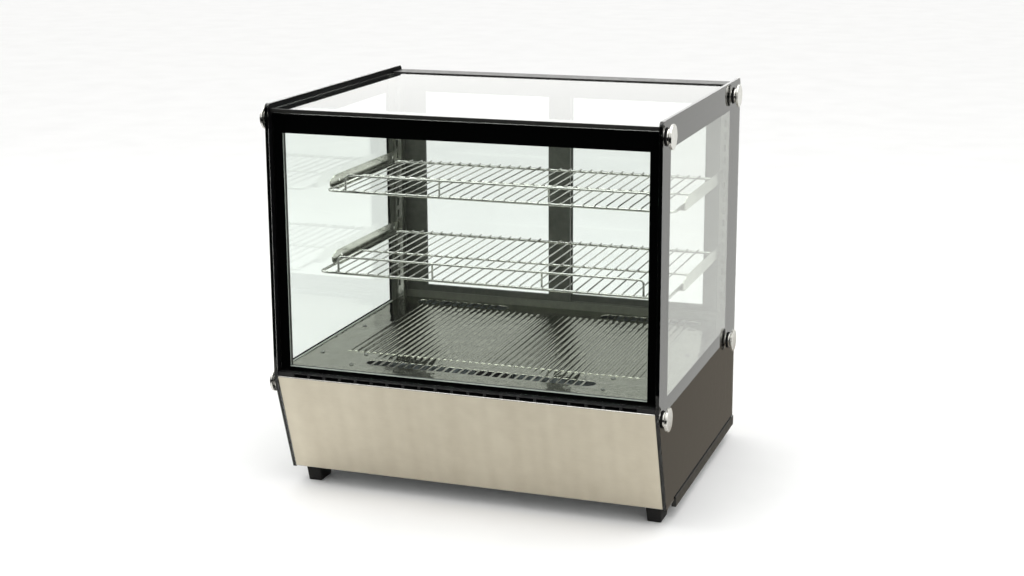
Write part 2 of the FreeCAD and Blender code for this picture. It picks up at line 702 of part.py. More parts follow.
# ---------------------------------------------------------------- rear frame and doors
def rear_header():
    """Inverted channel across the top of the door opening."""
    across = (f"-{INNER} + print_thickness", f"{INNER} - print_thickness")
    outer = [
        (HEADER_FRONT, HEADER_LOW),
        (f"{HEADER_FRONT} + chassis_sheet", HEADER_LOW),
        (f"{HEADER_FRONT} + chassis_sheet", f"{HEADER_TOP} - chassis_sheet"),
        (f"{BACK} - chassis_sheet", f"{HEADER_TOP} - chassis_sheet"),
        (f"{BACK} - chassis_sheet", HEADER_LOW),
        (BACK, HEADER_LOW),
        (BACK, HEADER_TOP),
        (HEADER_FRONT, HEADER_TOP),
    ]
    return prism("rear_header", "YZ_Plane", *across, [outer])


def rear_post(hand, sign):
    """Folded corner post: a wing along the side glass and a channel beside the doors."""
    wing_out = f"({INNER} - print_thickness)"
    channel_in = f"({INNER} - post_face)"
    wing_front = f"{BACK} - post_wing"
    top = f"{HEADER_TOP} - chassis_sheet"
    wing_wide = mirrored((UPRIGHT_OUT, wing_out), sign)
    wing = block(f"{hand}_post_wing", wing_wide, (wing_front, TRACK_BACK), ("post_bottom", top))
    channel = block(f"{hand}_post_channel", mirrored((channel_in, UPRIGHT_OUT), sign),
                    (TRACK_FRONT, TRACK_BACK), ("deck_height", top))
    hollow = block(f"{hand}_post_hollow", mirrored((f"{channel_in} + chassis_sheet", UPRIGHT_OUT), sign),
                   (f"{TRACK_FRONT} + chassis_sheet", f"{TRACK_BACK} - chassis_sheet"), ("deck_height", top))
    header_room = block(f"{hand}_post_header_room", mirrored((channel_in, wing_out), sign),
                        (HEADER_FRONT, f"{HEADER_FRONT} + chassis_sheet"), (HEADER_LOW, HEADER_TOP))
    glass_room = block(f"{hand}_post_glass_room", wing_wide, (wing_front, HEADER_FRONT),
                       (f"{TOP_GLASS_LOW} - glass_gap", HEADER_TOP))
    wall = mirrored((f"{wing_out} - chassis_sheet", wing_out), sign)
    chassis_room = block(f"{hand}_post_chassis_room", wall, (wing_front, BACK), ("post_bottom", DECK_LOW))
    folded = fuse(f"{hand}_post_sheet", [wing, channel])
    return cut(f"{hand}_rear_post", folded, [hollow, header_room, glass_room, chassis_room])


def door_track(name, low, high, web):
    """Three fins on a web, with a lane for each door between them."""
    ends = (f"-{INNER} + post_face", f"{INNER} - post_face")
    parts = [block(f"{name}_web", ends, (TRACK_FRONT, TRACK_BACK), web)]
    for order in range(3):
        front = f"({TRACK_FRONT} + {order} * (track_fin + {LANE}))"
        parts.append(block(f"{name}_fin_{order}", ends, (front, f"{front} + track_fin"), (low, high)))
    return fuse(name, parts)


def sliding_door(hand, sign):
    """Frame, glass, finger pull and glides of one door. The left door runs in the front lane."""
    lane = 0 if sign < 0 else 1
    front = f"({TRACK_FRONT} + track_fin + door_clearance + {lane} * (track_fin + {LANE}))"
    back = f"({front} + door_thickness)"
    wide = mirrored(("-door_overlap", DOOR_EDGE), sign)
    clear_wide = (f"{wide[0]} + stile_width", f"{wide[1]} - stile_width")
    clear_high = (f"{DOOR_LOW} + rail_width", f"{DOOR_TOP} - rail_width")
    middle = f"({front} + door_thickness / 2)"
    slab = prism(f"{hand}_door_slab", "XZ_Plane", front, back,
                 [oblong(wide, (DOOR_LOW, DOOR_TOP)), oblong(clear_wide, clear_high)])
    pane = (
        (f"{clear_wide[0]} - door_bite", f"{clear_wide[1]} + door_bite"),
        around(middle, "door_glass / 2"),
        (f"{clear_high[0]} - door_bite", f"{clear_high[1]} + door_bite"),
    )
    groove = block(f"{hand}_door_groove", *pane)
    glass = block(f"{hand}_door_glass", *pane)
    stile = f"({DOOR_EDGE} - stile_width / 2)"
    pull_wide = mirrored(around(stile, "pull_width / 2"), sign)
    pull_high = around(f"({DOOR_LOW} + {DOOR_TOP}) / 2", "pull_length / 2")
    seat = block(f"{hand}_pull_seat", pull_wide, (f"{back} - pull_depth", back), pull_high)
    cup = block(f"{hand}_pull_cup", pull_wide, (f"{back} - pull_depth", back), pull_high)
    finger = block(f"{hand}_pull_finger", (f"{pull_wide[0]} + pull_wall", f"{pull_wide[1]} - pull_wall"),
                   (f"{back} - pull_depth + pull_floor", back),
                   (f"{pull_high[0]} + pull_wall", f"{pull_high[1]} - pull_wall"))
    pull = cut(f"{hand}_door_pull", cup, [finger])
    glide_slots = []
    glides = []
    for end, offset in enumerate(("stile_width / 2", "-stile_width / 2")):
        along = around(f"({wide[end]} + {offset})", "glide_length / 2")
        deep = around(middle, "glide_thickness / 2")
        top = f"{DOOR_LOW} + glide_height"
        glide_slots.append(block(f"{hand}_glide_slot_{end}", along, deep, (DOOR_LOW, top)))
        glides.append(block(f"{hand}_glide_{end}", along, deep, (f"{DOOR_LOW} - glide_drop", top)))
    frame = cut(f"{hand}_door_frame", slab, [groove, seat] + glide_slots)
    return frame, glass, pull, group(f"{hand}_door_glides", glides)


# ---------------------------------------------------------------- shelf supports
def shelf_upright(hand, sign):
    """Slotted channel, open to the rear, with a row of bracket slots in its face."""
    body = new_body(f"{hand}_shelf_upright")
    profile = sketch_on(body, "XY_Plane", "deck_height")
    low, high = mirrored((UPRIGHT_IN, UPRIGHT_OUT), sign)
    polygon(profile, [
        (low, UPRIGHT_FRONT),
        (high, UPRIGHT_FRONT),
        (high, UPRIGHT_BACK),
        (f"{high} - sheet_metal", UPRIGHT_BACK),
        (f"{high} - sheet_metal", f"{UPRIGHT_FRONT} + sheet_metal"),
        (f"{low} + sheet_metal", f"{UPRIGHT_FRONT} + sheet_metal"),
        (f"{low} + sheet_metal", UPRIGHT_BACK),
        (low, UPRIGHT_BACK),
    ])
    pad(body, profile, f"{TOP_GLASS_LOW} - upright_top_gap - deck_height")
    slot = sketch_on(body, "XZ_Plane", f"-{UPRIGHT_FRONT}")
    centre = f"({low} + upright_width / 2)"
    first = "(deck_height + slot_start)"
    polygon(slot, oblong(around(centre, "slot_width / 2"), (first, f"{first} + slot_height")))
    hole = pocket(body, slot, "sheet_metal")
    repeat(body, hole, slot, "V_Axis", "slot_pitch",
           f"floor(({TOP_GLASS_LOW} - deck_height - slot_start - slot_height) / slot_pitch)")
    return body


def shelf_bracket(name, height, sign):
    """Bent sheet: a web with a hook in the upright and a flange that carries the shelf."""
    centre = f"({UPRIGHT_IN} + upright_width / 2)"
    web = mirrored(around(centre, "sheet_metal / 2"), sign)
    front = f"({UPRIGHT_FRONT} - bracket_reach)"
    nose = f"({front} + bracket_nose)"
    top = f"({height} + bracket_height)"
    step = f"({top} - bracket_step)"
    hook_end = f"({UPRIGHT_FRONT} + bracket_hook)"
    hook_low = f"({height} + hook_rise + hook_play)"
    hook_top = f"({height} + hook_rise + slot_height - hook_play * 2)"
    outline = [
        (front, f"{height} + bracket_nose"),
        (nose, height),
        (UPRIGHT_FRONT, height),
        (UPRIGHT_FRONT, hook_low),
        (hook_end, hook_low),
        (hook_end, hook_top),
        (UPRIGHT_FRONT, hook_top),
        (UPRIGHT_FRONT, top),
        (f"{front} + bracket_stop + bracket_step", top),
        (f"{front} + bracket_stop", step),
        (nose, step),
        (front, f"{step} - bracket_step"),
    ]
    plate = prism(f"{name}_web", "YZ_Plane", *web, [outline])
    inner = mirrored((f"{centre} - bracket_flange", f"{centre} - sheet_metal / 2"), sign)
    flange = block(f"{name}_flange", inner, (nose, f"{UPRIGHT_FRONT} - flange_gap"),
                   (height, f"{height} + sheet_metal"))
    through = mirrored(around(centre, PAST), sign)
    level = f"{height} + bracket_height / 2"
    holes = [
        rod(f"{name}_hole", "x", "bracket_hole", *through, f"{front} + hole_front", level),
        rod(f"{name}_hole_rear", "x", "bracket_hole", *through, f"{UPRIGHT_FRONT} - hole_rear", level),
    ]
    return cut(name, fuse(f"{name}_sheet", [plate, flange]), holes)


def bracket_pair(name, height):
    return group(name, [shelf_bracket(f"{name}_{hand}", height, sign) for hand, sign in HANDS])


# ---------------------------------------------------------------- wire shelves
def wire(points, radius, bend):
    """Round wire through points, with arcs of the bend radius at the inner points."""
    edges = []
    start = points[0]
    for before, corner, after in zip(points, points[1:], points[2:]):
        towards = (before - corner).normalize()
        onwards = (after - corner).normalize()
        angle = towards.getAngle(onwards)
        back_off = bend / math.tan(angle / 2)
        first = corner + towards * back_off
        last = corner + onwards * back_off
        middle_way = (towards + onwards).normalize()
        middle = corner + middle_way * (bend / math.sin(angle / 2) - bend)
        edges.append(Part.LineSegment(start, first).toShape())
        edges.append(Part.Arc(first, middle, last).toShape())
        start = last
    edges.append(Part.LineSegment(start, points[-1]).toShape())
    path = Part.Wire(edges)
    ring = Part.Circle(points[0], points[1] - points[0], radius).toShape()
    return path.makePipeShell([Part.Wire([ring])], True, True)


def straight(start, end, radius):
    return Part.makeCylinder(radius, (end - start).Length, start, end - start)


def wire_shelf(name, depth, bracket):
    """Welded shelf: a bent frame wire, a wire along the middle, and cross wires on top."""
    thick = number("frame_wire / 2")
    thin = number("cross_wire / 2")
    side = number(f"{UPRIGHT_IN} + upright_width / 2 - sheet_metal / 2 - shelf_side_gap") - thick
    back = number(f"{UPRIGHT_FRONT} - shelf_rear_gap") - thick
    front = back - number(depth) + thick * 2
    level = number(f"{bracket} + sheet_metal") + thick
    bend = number("shelf_corner")
    loop = [
        Vector(0, front, level), Vector(side, front, level), Vector(side, back, level),
        Vector(-side, back, level), Vector(-side, front, level), Vector(0, front, level),
    ]
    middle = (front + back) / 2
    parts = [wire(loop, thick, bend)]
    half_middle = number("middle_wire / 2")
    parts.append(straight(Vector(-side, middle, level), Vector(side, middle, level), half_middle))
    top = level + thick + thin - number("wire_sink")
    pitch = number("cross_pitch")
    rear_end = back + thick + number("wire_overhang")
    count = int((side - bend) / pitch)
    for step in range(-count, count + 1):
        x = step * pitch
        parts.append(straight(Vector(x, front - thick, top), Vector(x, rear_end, top), thin))
    shelf = made(name, parts[0].multiFuse(parts[1:]))

    half = side + thick - number("guard_inset")
    radius = number("guard_wire / 2")
    foot = level + thick - number("wire_sink")
    high = level + number("guard_height")
    hoop = [Vector(x, front, z) for x, z in ((-half, foot), (-half, high), (half, high), (half, foot))]
    bar = wire(hoop, radius, number("guard_bend"))
    posts = []
    for x in (-number("guard_post"), number("guard_post")):
        posts.append(straight(Vector(x, front, foot), Vector(x, front, high), number("guard_post_wire / 2")))
    rail = made(f"{name}_rail", bar.multiFuse(posts))
    return shelf, rail


# ---------------------------------------------------------------- base
# Section of a rib, as parts of its width and of its height.
RIB = [(-0.5, 0), (-0.33, 0.7), (-0.14, 1), (0.14, 1), (0.33, 0.7), (0.5, 0)]


def deck():
    """Stainless floor with pressed ribs, and a round-ended grille at the front and two at the rear."""
    body = new_body("deck")
    plate = sketch_on(body, "XY_Plane", DECK_LOW)
    wide = f"({INNER} - deck_gap)"
    notch = f"({UPRIGHT_OUT} - glass_gap)"
    front = f"{GLASS_BACK} + frame_depth"
    wing = f"{BACK} - post_wing - glass_gap * 2"
    polygon(plate, [
        (f"-{wide}", front),
        (wide, front),
        (wide, wing),
        (notch, wing),
        (notch, TRACK_FRONT),
        (f"-{notch}", TRACK_FRONT),
        (f"-{notch}", wing),
        (f"-{wide}", wing),
    ])
    pad(body, plate, "sheet_metal")
    rib_room = "(case_width - rib_side * 2 - glass_thickness * 2)"
    ribs = f"floor({rib_room} / rib_pitch)"
    first = f"(-({ribs} - 1) * rib_pitch / 2)"
    rib = sketch_on(body, "XZ_Plane", f"-({FRONT} + rib_front)")
    polygon(rib, [
        (f"{first} + rib_width * {across}", f"deck_height + rib_height * {rise}")
        for across, rise in RIB
    ])
    rib_length = f"({BACK} - rib_rear) - ({FRONT} + rib_front)"
    repeat(body, pad(body, rib, rib_length, True), rib, "H_Axis", "rib_pitch", ribs)
    rows = [
        (f"(-{SIDE} + vent_side)", f"({SIDE} - vent_side)", f"({FRONT} + vent_front)"),
        (f"(-{SIDE} + vent_rear_side)", "(-vent_rear_middle)", f"({BACK} - vent_rear)"),
        ("vent_rear_middle", f"({SIDE} - vent_rear_side)", f"({BACK} - vent_rear)"),
    ]
    for start, end, middle in rows:
        opening = sketch_on(body, "XY_Plane", "deck_height")
        round_end = "(vent_length / 2)"
        polygon(opening, [
            (f"{centre} + {side}{round_end} * sin({angle}deg)",
             f"{middle} - {side}{round_end} * cos({angle}deg)")
            for centre, side in ((end, ""), (start, "-"))
            for angle in range(0, 181, 30)
        ])
        pocket(body, opening, "sheet_metal")
        bars = f"floor(({end} - {start}) / vent_pitch + 1)"
        bar = sketch_on(body, "XY_Plane", DECK_LOW)
        polygon(bar, oblong(around(start, "vent_bar / 2"), around(middle, f"{round_end} + vent_root")))
        repeat(body, pad(body, bar, "sheet_metal"), bar, "H_Axis", "vent_pitch", bars)
    outer = f"({INNER} - deck_screw_side)"
    by_vent = f"({SIDE} - vent_screw_side)"
    screw_places = [
        (f"{sign}{across}", f"{FRONT} + {along}")
        for sign in ("-", "")
        for across, along in (
            (outer, "deck_screw_front"),
            (outer, "deck_screw_rear"),
            (by_vent, "vent_screw_rear"),
            (by_vent, "vent_screw_front"),
        )
    ]
    holes = sketch_on(body, "XY_Plane", "deck_height")
    for across, along in screw_places:
        circle(holes, across, along, "screw_shank")
    pocket(body, holes, "sheet_metal")
    screws = [screw(f"deck_screw_{n}", "z", spot, "deck_height") for n, spot in enumerate(screw_places)]
    return body, screws


def screw(name, axis, middle, face):
    """Pan-head screw: its head stands on a face and its shank goes through it."""
    head = rod(f"{name}_head", axis, "screw_head", face, f"{face} + screw_head_height", *middle)
    shank = rod(f"{name}_shank", axis, "screw_shank", f"{face} - screw_length", face, *middle)
    return fuse(name, [head, shank])


SLOPE = f"(toe_setback / (waist_height - {CHASSIS_LOW}))"


def slope_at(height):
    """How far back the sloping front edge is at a height below the waist."""
    return f"({FRONT} + max(0; waist_height - ({height})) * {SLOPE})"


def front_panel():
    """Sloping stainless front, folded back at the top and the bottom between the chassis walls."""
    wide = f"({INNER} - print_thickness)"
    bottom = slope_at(FLOOR)
    level_thickness = f"sheet_metal * sqrt(1 + {SLOPE} * {SLOPE})"
    slope = [
        (FRONT, "panel_top"),
        (bottom, FLOOR),
        (f"{bottom} + {level_thickness}", FLOOR),
        (f"{FRONT} + {level_thickness}", "panel_top"),
    ]
    body = prism("front_panel", "YZ_Plane", f"-{wide}", wide, [slope])
    inside = f"({wide} - chassis_sheet - glass_gap)"
    folds = sketch_on(body, "YZ_Plane", f"-{inside}")
    polygon(folds, oblong((f"{bottom} + sheet_metal / 2", f"{bottom} + panel_flange"),
                          (FLOOR, f"{FLOOR} + sheet_metal")))
    polygon(folds, oblong((f"{FRONT} + sheet_metal / 2", f"{FRONT} + panel_flange"),
                          ("panel_top - sheet_metal", "panel_top")))
    pad(body, folds, f"2 * {inside}")
    return body


def louvre_strip():
    """Black strip under the front glass, with a row of air slots."""
    body = new_body("louvre_strip")
    base = sketch_on(body, "XZ_Plane", f"-({FRONT} + strip_inset)")
    inside = f"({INNER} - print_thickness)"
    polygon(base, oblong((f"-{inside}", inside), ("panel_top", "front_glass_bottom")))
    pad(body, base, "strip_depth", True)
    slot = sketch_on(body, "XZ_Plane", f"-({FRONT} + strip_inset)")
    count = "floor((case_width - strip_plain * 2) / strip_pitch)"
    first = f"(-(({count} - 1) * strip_pitch + strip_slot) / 2)"
    polygon(slot, oblong((first, f"{first} + strip_slot"),
                         ("panel_top + strip_edge", "front_glass_bottom - strip_edge")))
    repeat(body, pocket(body, slot, "strip_depth"), slot, "H_Axis", "strip_pitch", count)
    return body


def chassis():
    """Folded steel pan: a floor and two side walls that carry the glass and the deck."""
    side = f"({INNER} - print_thickness)"
    strip_back = f"({FRONT} + strip_inset + strip_depth + glass_gap * 2)"
    shoulder = "(panel_top - sheet_metal - glass_gap)"
    outline = [
        (strip_back, DECK_LOW),
        (strip_back, shoulder),
        (f"{FRONT} + panel_room", shoulder),
        (f"{FRONT} + panel_room", "waist_height"),
        (f"{slope_at(CHASSIS_LOW)} + panel_room", CHASSIS_LOW),
        (TRACK_BACK, CHASSIS_LOW),
        (TRACK_BACK, DECK_LOW),
    ]
    body = prism("chassis", "YZ_Plane", f"-{side}", side, [outline])
    hollow = sketch_on(body, "YZ_Plane", f"{side} - chassis_sheet")
    polygon(hollow, oblong((f"{FRONT} - {PAST}", f"{BACK} + {PAST}"), (FLOOR, f"deck_height + {PAST}")))
    pocket(body, hollow, f"2 * ({side} - chassis_sheet)")
    return body


def side_rail(hand, sign):
    """Black rail under a side glass, with a lip up each face of the glass."""
    across = mirrored((INNER, f"{SIDE} + rail_proud"), sign)
    along = (f"{FRONT} + rail_reach", BACK)
    bar = block(f"{hand}_rail_bar", across, along, (f"{CHASSIS_LOW} - rail_drop", CHASSIS_LOW))
    lip = block(f"{hand}_rail_lip", mirrored((SIDE, f"{SIDE} + rail_proud"), sign), along,
                (CHASSIS_LOW, f"{CHASSIS_LOW} + rail_lip"))
    return fuse(f"{hand}_side_rail", [bar, lip])


def feet():
    """Four tapered rubber feet."""
    made_feet = []
    rows = (("front", f"({FRONT} + foot_front_inset)"), ("rear", f"({BACK} - foot_rear_inset)"))
    for hand, sign in HANDS:
        for end, middle in rows:
            body = new_body(f"{hand}_{end}_foot")
            side = f"({sign} * ({SIDE} - foot_side_inset))"
            outlines = (("0", "foot_sole", "foot_toe"), (CHASSIS_LOW, "foot_width", "foot_length"))
            sketches = []
            for level, width, length in outlines:
                sketch = sketch_on(body, "XY_Plane", level)
                polygon(sketch, oblong(around(side, f"{width} / 2"), around(middle, f"{length} / 2")))
                sketches.append(sketch)
            loft = body.newObject("PartDesign::AdditiveLoft", f"{body.Name}_loft")
            loft.Profile = sketches[0]
            loft.Sections = [sketches[1]]
            loft.Ruled = True
            made_feet.append(body)
    return group("feet", made_feet)


def rear_panel():
    """Rear cover of the base with air slots and openings for the controls, and the sill angle."""
    body = new_body("rear_cover")
    inside = UPRIGHT_OUT
    face = REAR_PANEL
    plate = sketch_on(body, "XZ_Plane", f"-({face} - sheet_metal)")
    polygon(plate, oblong((f"-{inside}", inside), (FLOOR, DECK_LOW)))
    pad(body, plate, "sheet_metal", True)
    openings = sketch_on(body, "XZ_Plane", f"-{face}")
    polygon(openings, oblong(around("control_x", "control_width / 2 - control_rim"),
                             around("control_height", "control_face / 2 - control_rim")))
    for order in range(2):
        polygon(openings, oblong(around(rocker_place(order), "rocker_width / 2 + control_rim"),
                                 around("control_height", "rocker_length / 2 + control_rim")))
    circle(openings, "gland_x", "gland_height", "gland_bore + gland_wall + gland_play")
    pocket(body, openings, "sheet_metal", True)
    slot = sketch_on(body, "XZ_Plane", f"-{face}")
    for order in range(3):
        start = f"louvre_start + louvre_step * {order}"
        polygon(slot, oblong((start, f"{start} + louvre_length"), ("louvre_low", "louvre_low + louvre_slot")))
    vents = pocket(body, slot, "sheet_metal", True)
    repeat(body, vents, slot, "V_Axis", "louvre_pitch", "louvre_rows")
    end = f"({inside} - rear_screw_side)"
    places = [
        (across, up)
        for across in (f"-{end}", end, "0")
        for up in (f"{FLOOR} + rear_screw_low", f"{DECK_LOW} - rear_screw_top")
    ]
    holes = sketch_on(body, "XZ_Plane", f"-{face}")
    for across, up in places:
        circle(holes, across, up, "screw_shank")
    pocket(body, holes, "sheet_metal", True)
    screws = [screw(f"rear_screw_{n}", "y", middle, face) for n, middle in enumerate(places)]
    sill = block("sill_angle", (f"-{inside}", inside), (face, TRACK_BACK),
                 (f"{DECK_LOW} - sheet_metal", DECK_LOW))
    return group("rear_panel", [body, sill]), screws


def rocker_place(order):
    """Middle of a rocker switch across the rear panel."""
    return f"(control_x + control_width / 2 + rocker_inset + {order} * rocker_pitch)"


def duct():
    """Sheet tray under the deck that guides the warm air, with a wall that carries the fan."""
    wide = f"({SIDE} - duct_side)"
    long = (f"{FRONT} + duct_front", f"{BACK} - duct_rear")
    outer = block("duct_outer", (f"-{wide}", wide), long, ("duct_bottom", DECK_LOW))
    inner = block("duct_inner", (f"-{wide} + sheet_metal", f"{wide} - sheet_metal"),
                  (f"{long[0]} + sheet_metal", f"{long[1]} - sheet_metal"),
                  ("duct_bottom + sheet_metal", DECK_LOW))
    tray = cut("duct_tray_sheet", outer, [inner])
    wall = block("duct_wall", (f"-{wide} + sheet_metal / 2", f"{wide} - sheet_metal / 2"),
                 (FAN_BACK, f"{FAN_BACK} + sheet_metal"),
                 ("duct_bottom + sheet_metal / 2", f"{DECK_LOW} - duct_gap"))
    mouth = rod("duct_mouth", "y", FAN_BORE, f"{FAN_BACK} - {PAST}", f"{FAN_BACK} + sheet_metal + {PAST}",
                "0", FAN_MIDDLE)
    return cut("air_duct", fuse("duct_sheets", [tray, wall]), [mouth])


def fan():
    """Axial fan: square housing with a motor on four struts, and a turning rotor."""
    middle = ("0", FAN_MIDDLE)
    front = f"({FAN_BACK} - fan_depth)"
    half = "fan_size / 2"
    shell = block("fan_square", around("0", half), (front, FAN_BACK), around(FAN_MIDDLE, half))
    bore = rod("fan_bore", "y", FAN_BORE, f"{front} - {PAST}", f"{FAN_BACK} + {PAST}", *middle)
    motor_face = f"{front} + fan_motor_depth"
    motor = rod("fan_motor_can", "y", "fan_motor", front, motor_face, *middle)
    pin = rod("fan_motor_pin", "y", "fan_pin", motor_face, f"{motor_face} + fan_pin_length", *middle)
    strut_deep = (front, f"{front} + fan_strut_depth")
    reach = "fan_size / 2 - fan_strut_gap"
    level = block("fan_strut_level", around("0", reach), strut_deep, around(FAN_MIDDLE, "fan_strut / 2"))
    upright = block("fan_strut_upright", around("0", "fan_strut / 2"), strut_deep, around(FAN_MIDDLE, reach))
    housing = fuse("fan_housing", [cut("fan_case", shell, [bore]), motor, pin, level, upright])
    return housing, fan_rotor()


# Half width in millimetres and pitch in degrees of a blade, at its root and at its tip.
BLADE_ROOT = (8, 48)
BLADE_TIP = (11, 24)


def fan_rotor():
    """Hub with twisted blades, bored to run on the motor's pin."""
    front = number(f"{FAN_BACK} - fan_depth + rotor_inset")
    centre_z = number(FAN_MIDDLE)
    hub = number("fan_hub")
    tip = number(f"{FAN_BORE} - fan_tip_gap")
    deep = number("rotor_depth")
    thick = number("blade_thickness")
    count = int(number("fan_blade_count"))
    forwards = Vector(0, 1, 0)
    middle = front + deep / 2
    blades = []
    for turn in range(count):
        sections = []
        for radius, (half, pitch) in ((hub - PAST, BLADE_ROOT), (tip + PAST, BLADE_TIP)):
            rise = min(math.tan(math.radians(pitch)) * half * 0.55, deep / 2 - 1)
            corners = [
                Vector(radius, middle - rise, centre_z - half),
                Vector(radius, middle - rise + thick, centre_z - half),
                Vector(radius, middle + rise, centre_z + half),
                Vector(radius, middle + rise - thick, centre_z + half),
            ]
            sections.append(Part.makePolygon(corners + corners[:1]))
        blade = Part.makeLoft(sections, True, True)
        blade.rotate(Vector(0, 0, centre_z), forwards, 360 / count * turn)
        blades.append(blade)
    ring = Part.makeCylinder(tip, deep, Vector(0, front, centre_z), forwards)
    solid = Part.makeCylinder(hub, deep, Vector(0, front, centre_z), forwards)
    solid = solid.multiFuse([blade.common(ring) for blade in blades])
    hole_depth = number("fan_motor_depth + fan_pin_length - rotor_inset") + 1
    hole = number("fan_pin + fan_pin_play")
    bore = Part.makeCylinder(hole, hole_depth, Vector(0, front - 1, centre_z), forwards)
    return made("fan_rotor", solid.cut(bore))


def heater():
    """Sheathed heating tube bent into level runs, on two rests in the duct."""
    level = number("duct_bottom + heater_rise")
    pitch = number("heater_leg_pitch")
    half = number("heater_leg_length / 2")
    first = number(f"{FAN_BACK} + heater_gap")
    points = []
    for leg in range(int(number("heater_legs"))):
        ends = (-half, half) if leg % 2 == 0 else (half, -half)
        points += [Vector(end, first + leg * pitch, level) for end in ends]
    tail = Vector(number("heater_tail"), 0, 0)
    points[0] = points[0] - tail
    points[-1] = points[-1] - tail
    nearly_half = pitch / 2 - 0.01
    tube = made("heater_tube_bent", wire(points, number("heater_tube / 2"), nearly_half))
    first_run = f"{FAN_BACK} + heater_gap"
    last_run = f"{first_run} + heater_leg_pitch * (heater_legs - 1)"
    along = (f"{first_run} - heater_rest_end", f"{last_run} + heater_rest_end")
    high = ("duct_bottom + sheet_metal", "duct_bottom + heater_rise - heater_tube / 2")
    rests = []
    for hand, sign in HANDS:
        wide = around(f"{sign} * heater_rest_place", "heater_rest_width / 2")
        rests.append(block(f"heater_rest_{hand}", wide, along, high))
    return group("heater_element", [tube] + rests)


def controls():
    """Digital controller with three buttons, and two rocker switches."""
    face = REAR_PANEL
    out = f"({face} + bezel_depth)"
    bezel = block("control_bezel", around("control_x", "control_width / 2"), (face, out),
                  around("control_height", "control_face / 2"))
    tub = block("control_tub", around("control_x", "control_width / 2 - bezel_rim"),
                (f"{face} - controller_depth", face),
                around("control_height", "control_face / 2 - bezel_rim"))
    pane = (
        ("control_x - control_width / 2 + window_edge", "control_x + window_end"),
        (f"{out} - window_thickness", out),
        around("control_height", "control_face / 2 - window_rim"),
    )
    holes = [block("control_window_seat", *pane)]
    buttons = []
    button_out = f"({out} + button_proud)"
    for order, label in enumerate(("set_button", "up_button", "down_button")):
        middle = (f"(control_x + button_inset + {order} * button_pitch)", "control_height")
        holes.append(rod(f"{label}_hole", "y", "button_radius + button_gap",
                         f"{face} - bezel_depth", out, *middle))
        buttons.append(rod(label, "y", "button_radius", f"{button_out} - button_depth", button_out, *middle))
    body = cut("controller_body", fuse("controller_solid", [bezel, tub]), holes)
    return [body, block("controller_window", *pane)] + buttons


def switches():
    """Two switch bodies with a rocker in each, tilted to off."""
    face = REAR_PANEL
    bodies = []
    rockers = []
    wide = "(rocker_width / 2)"
    tall = "(rocker_length / 2)"
    level = "control_height"
    pivot = f"({face} - rocker_depth)"
    for order, label in enumerate(("power_rocker", "light_rocker")):
        middle = rocker_place(order)
        rim = block(f"{label}_rim", around(middle, f"{wide} + switch_rim"), (face, f"{face} + switch_proud"),
                    around(level, f"{tall} + switch_rim"))
        tub = block(f"{label}_tub", around(middle, f"{wide} + switch_wall"), (f"{face} - switch_depth", face),
                    around(level, f"{tall} + switch_wall"))
        well = block(f"{label}_well", around(middle, f"{wide} + rocker_gap"),
                     (f"{face} - switch_well", f"{face} + switch_proud + {PAST}"),
                     around(level, f"{tall} + rocker_gap"))
        socket = rod(f"{label}_socket", "x", "rocker_pin + rocker_pin_play",
                     *around(middle, f"{wide} + rocker_pin_reach + rocker_pin_end"), pivot, level)
        bodies.append(cut(f"{label}_body", fuse(f"{label}_case", [rim, tub]), [well, socket]))
        end = f"({tall} - rocker_short)"
        back_end = f"({end} - rocker_taper)"
        paddle = prism(f"{label}_paddle", "YZ_Plane", f"-{wide}", wide, [[
            ("-rocker_back", f"-{back_end}"),
            ("rocker_tip", f"-{end}"),
            ("rocker_dip", "0"),
            ("rocker_tip", end),
            ("-rocker_back", back_end),
        ]])
        pin = rod(f"{label}_pin", "x", "rocker_pin", *around("0", f"{wide} + rocker_pin_reach"), "0", "0")
        rocker = fuse(label, [paddle, pin])
        tilt = FreeCAD.Rotation(Vector(1, 0, 0), number("rocker_tilt"))
        rocker.Placement = FreeCAD.Placement(Vector(), tilt)
        place(rocker, middle, pivot, level)
        rockers.append(rocker)
    return [group("switch_bodies", bodies)] + rockers


def cord_gland():
    """Hollow gland in the rear panel with a nut on each side."""
    face = REAR_PANEL
    spots = ("gland_x", "gland_height")
    step = f"({face} + gland_step)"
    reach = f"({face} + gland_reach)"
    nut_face = f"({face} - sheet_metal)"
    stem = rod("gland_stem_rod", "y", "gland_bore + gland_wall", f"{face} - gland_stem", step, *spots)
    flange = rod("gland_flange_rod", "y", "gland_bore + gland_flange", face, step, *spots)
    dome = rod("gland_dome_rod", "y", "gland_bore + gland_dome", step, reach, *spots)
    nut = rod("gland_nut_rod", "y", "gland_bore + gland_nut",
              f"{nut_face} - gland_nut_depth", nut_face, *spots)
    bore = rod("gland_hole", "y", "gland_bore", f"{face} - gland_stem - {PAST}", f"{reach} + {PAST}", *spots)
    return cut("cord_gland", fuse("gland_solid", [stem, flange, dome, nut]), [bore])


TERMINAL_X = [f"(terminal_x + {pole} * terminal_pitch)" for pole in range(-2, 3)]
TERMINAL_BACK = f"({BACK} - terminal_inset)"
TERMINAL_FRONT = f"({TERMINAL_BACK} - terminal_depth)"
TERMINAL_MIDDLE = f"({FLOOR} + terminal_height / 2)"


